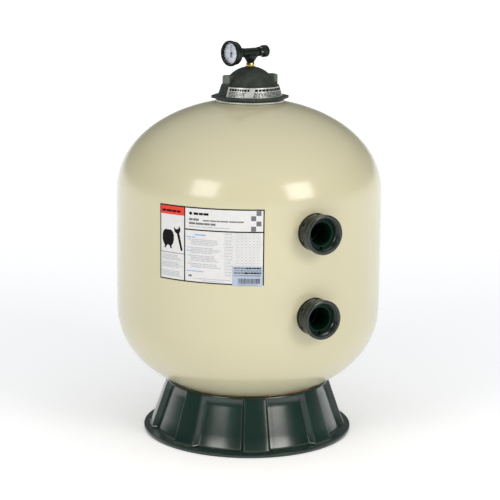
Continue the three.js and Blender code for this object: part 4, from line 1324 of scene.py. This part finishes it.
# ---------- inside the tank ----------
def pipe_run(which, y, z, end_z):
    """Level pipe, socketed elbow and riser, as three pieces with a hair of clearance between them."""
    near, far = -high(which + "_pipe")[1], -low(which + "_pipe")[1]
    level = sleeve(PIPE_BORE, PIPE_R, far, near, 72, facing(0, z), (0.5,) * 4, which + "_level_pipe")
    finish(level, "tank", "bore", "fitting", which + "_pipe")
    down = math.copysign(1, end_z - z)
    bend = ELBOW_BEND
    quarter = spread(0, math.pi / 2, 24)
    path = [(0, y - bend + bend * math.sin(a), z + down * bend * (1 - math.cos(a))) for a in quarter]
    body = bent_bar(which + "_elbow_bend", path, 27.4, 56)
    half_turn = 0 if down > 0 else 180
    mouths = (move(0, y - bend, z) @ swing(90, "X"), move(0, y, z + down * bend) @ swing(half_turn, "X"))
    socket = [(0, -2), (29.2, -2, 1.5), (29.9, 3), (29.9, 19.9, 1.2), (0, 19.9)]
    combine(body, *(lathe("socket", socket, 72, mouth) for mouth in mouths))
    cut(body, bent_bar("bore", path, PIPE_BORE, 48), *(rod(25.2, 0, 21, 64, mouth) for mouth in mouths))
    finish(body, "tank", "white", "pipe", which + "_elbow")
    foot, tip = low(which + "_riser")[2], high(which + "_riser")[2]
    riser = sleeve(PIPE_BORE, PIPE_R, foot, tip, 72, move(y=y), (0.5,) * 4, which + "_riser_pipe")
    finish(riser, "tank", "white", "pipe", which + "_riser")


def inner_pipes():
    pipe_run("inlet", middle("diffuser", 1), PORTS["upper"], high("inlet_riser")[2])
    pipe_run("outlet", 0, PORTS["lower"], low("outlet_riser")[2])


def air_tube():
    x = middle("air_bleed_tube", 0)
    aside = move(x)
    foot, tip = low("air_bleed_tube")[2], high("air_bleed_tube")[2]
    bleed = sleeve(3, 5, foot, tip, 32, aside, (0.3, 0.5, 0.5, 0.3), "air_tube")
    finish(bleed, "tank", "valve", "fitting", "air_bleed_tube")
    foot, tip = low("air_strainer")[2], high("air_strainer")[2]
    strainer = rod(9, foot, tip, 48, aside, (1, 3), "air_tube_strainer")
    slits = [foot + 4 + 2.4 * k for k in range(6)]
    cut(strainer, *(sleeve(7, 10, z, z + 0.8, 48, aside) for z in slits))
    finish(strainer, "tank", "white", "pipe", "air_strainer")
    foot, tip = low("tube_clip")[2], high("tube_clip")[2]
    clip = sleeve(PIPE_SEAT_R, 29, foot, tip, 64, ease=(0.4, 0.8, 0.8, 0.4), name="air_tube_clip")
    arm = prism("arm", oblong(27, x - 4, -3.6, 3.6, 1), foot, tip, bevel=0.8)
    combine(clip, arm, rod(9, foot, tip, 40, aside, (1, 1)))
    cut(clip, rod(5.3, foot - 2, tip + 2, where=aside))
    finish(clip, "tank", "valve", "fitting", "tube_clip")


def diffuser():
    z0, top = low("diffuser")[2], high("diffuser")[2] - 6
    r = high("diffuser")[0]
    here = move(y=middle("diffuser", 1))
    body = lathe("inlet_diffuser", [
        (PIPE_SEAT_R, z0, 0.6), (40, z0, 2), (r, top - 22, 3), (r, top, 3), (0, top + 6), (0, top + 2),
        (r - 4, top - 3, 2), (r - 4, top - 21, 2), (38, z0 + 4, 1), (PIPE_SEAT_R, z0 + 4, 0.6),
    ], 96, here)
    slot = oblong(-5, 5, r - 10, r + 5)
    cut(body, *(prism("slot", slot, top - 17, top - 8, turned) for turned in around(12, here)))
    finish(body, "tank", "white", "pipe", "diffuser")


def lateral_place(number):
    return swing(LATERAL_FIRST + 360 / LATERALS * number, "Z")


def lateral_hub():
    bore = 21.5
    body = lathe("lateral_hub_body", [
        (0, HUB_Z - 16), (34, HUB_Z - 16, 2), (34, HUB_Z + 16, 1), (32, HUB_Z + 34, 1.5),
        (PIPE_SEAT_R, HUB_Z + 34, 0.6), (PIPE_SEAT_R, HUB_Z + 12),
        (bore, HUB_Z + 12, 0.5), (bore, HUB_Z - 10, 1), (0, HUB_Z - 10),
    ], 96)
    extras, drills = [], []
    ear, thick = LATERAL_R + 0.6, 2.6
    reach = -LATERAL_PIVOT_R - 7
    outline = [(-8, reach, 6), (8, reach, 6), (8, -30), (-8, -30)]
    for number in range(LATERALS):
        turned = lateral_place(number)
        sideways = turned @ move(z=HUB_Z) @ swing(90, "Y")
        extras += [prism("ear", outline, at, at + thick, sideways, bevel=0.4) for at in (-ear - thick, ear)]
        extras.append(rod(2.6, -ear - 2, ear + 2, 24, sideways @ move(y=-LATERAL_PIVOT_R)))
        drills.append(rod(4, 5, 35.5, 24, turned @ facing(0, HUB_Z)))
    combine(body, *extras)
    cut(body, *drills)
    finish(body, "tank", "valve", "fitting", "lateral_hub")


def lateral(number):
    """A slotted collector arm with a round heel that turns on the hub's pin."""
    turned = lateral_place(number)
    outward = turned @ facing(0, HUB_Z)
    pivot = turned @ move(0, -LATERAL_PIVOT_R, HUB_Z) @ swing(90, "Y")
    r = LATERAL_R - 0.1
    body = rod(r, LATERAL_PIVOT_R, LATERAL_TIP, 40, outward, (0, 2.5), f"lateral_arm_{number + 1}")
    combine(body, rod(r, -r, r, 40, pivot, (0.8, 0.8)))
    starts = [LATERAL_PIVOT_R + 26 + 6 * k for k in range(22)]
    slits = join("slits", [sleeve(r - 1.1, r + 1, at, at + 1.3, 40, outward) for at in starts])
    cut(body, rod(3, -20, 20, 24, pivot), slits)
    finish(body, f"arm_{number + 1}", "white", "pipe", f"lateral_{number + 1}")


# ---------- studio ----------
CAMERA = {
    "distance": 3.7757, "height": 1.2328, "azimuth": -28.0,
    "pitch": 11.964, "roll": 0.567, "yaw": 0.052, "lens": 117.2,
}
WARM = (1, 0.95, 0.91)
FLOOR_HALF = 14


def aim_camera():
    data = bpy.data.cameras.new("camera")
    data.lens = CAMERA["lens"]
    data.sensor_width = 36
    data.clip_end = 50
    camera = show("camera", data)
    azimuth, yaw, pitch, roll = (math.radians(CAMERA[key]) for key in ("azimuth", "yaw", "pitch", "roll"))
    stand = Vector(polar(CAMERA["distance"], azimuth, CAMERA["height"]))
    turn = Matrix.Rotation(azimuth - yaw, 4, "Z") @ Matrix.Rotation(math.pi / 2 - pitch, 4, "X")
    camera.matrix_world = Matrix.Translation(stand) @ (turn @ Matrix.Rotation(roll, 4, "Z"))
    bpy.context.scene.camera = camera


def softbox(name, azimuth, elevation, size, power):
    """A soft rectangular lamp at a distance from the middle of the tank, in metres and watts."""
    distance = 3.0
    data = bpy.data.lights.new(name, "AREA")
    data.shape = "RECTANGLE"
    data.size, data.size_y = size
    data.energy = power
    data.color = WARM
    e = math.radians(elevation)
    away = Vector(polar(math.cos(e), math.radians(azimuth), math.sin(e)))
    aim = away.to_track_quat("Z", "Y").to_matrix().to_4x4()
    show(name, data).matrix_world = Matrix.Translation(Vector((0, 0, 0.5)) + away * distance) @ aim


def floor():
    """A pale floor that glows more away from the object, so that it fades to white."""
    half = FLOOR_HALF
    corners = [(-half, -half, 0), (half, -half, 0), (half, half, 0), (-half, half, 0)]
    mesh = bpy.data.meshes.new("floor")
    mesh.from_pydata(corners, [], [(0, 1, 2, 3)])
    s = Surface("floor_paint_and_glow", (0.92, 0.93, 0.96), 0.8, specular=0.1)
    # Painted glow: the floor's emission rises with distance from the object, so the floor stays darker near
    # it.
    distance = s.node("ShaderNodeVectorMath")
    distance.operation = "LENGTH"
    s.link(s.place, distance.inputs[0])
    share = s.share(distance.outputs["Value"], From_Min=0.4, From_Max=4.0)
    glow = s.ramp(share, (0.0, (0.27, 0.27, 0.27)), (1.0, (0.64, 0.64, 0.64)))
    s.link(glow, s.shader.inputs["Emission Color"])
    s.set("Emission Strength", 1.0)
    mesh.materials.append(s.material)
    show("floor", mesh)


def surround():
    """A white ground, grey walls and a pale ceiling."""
    world = bpy.data.worlds.new("studio")
    bpy.context.scene.world = world
    world.use_nodes = True
    tree = world.node_tree
    direction = tree.nodes.new("ShaderNodeTexCoord").outputs["Generated"]
    split = tree.nodes.new("ShaderNodeSeparateXYZ")
    fade = tree.nodes.new("ShaderNodeValToRGB")
    cells = fade.color_ramp.elements
    cells.new(0.4)
    cells.new(0.6)
    walls = (
        (0.0, (1.0, 1.0, 1.0)), (0.08, (0.18, 0.19, 0.19)),
        (0.3, (0.07, 0.08, 0.08)), (0.95, (0.85, 0.86, 0.86)),
    )
    for cell, (at, colour) in zip(cells, walls):
        cell.position = at
        cell.color = (*colour, 1)
    tree.links.new(direction, split.inputs["Vector"])
    tree.links.new(split.outputs["Z"], fade.inputs["Fac"])
    tree.links.new(fade.outputs["Color"], tree.nodes["Background"].inputs["Color"])


bpy.context.scene.view_settings.view_transform = "Standard"
aim_camera()
surround()
softbox("left_box", -66, 24, (1.1, 1.2), 26)
softbox("right_box", 15, 21, (1.1, 1.2), 34)
floor()
tank_shell()
neck()
foot_skirt()
bonding_bead()
for side in PORTS:
    port(side)
lid()
oring()
brass_adapter()
instruction_label()
lid_label()
valve_tee()
relief_knob()
gauge()
drain()
inner_pipes()
air_tube()
diffuser()
lateral_hub()
for index in range(LATERALS):
    lateral(index)
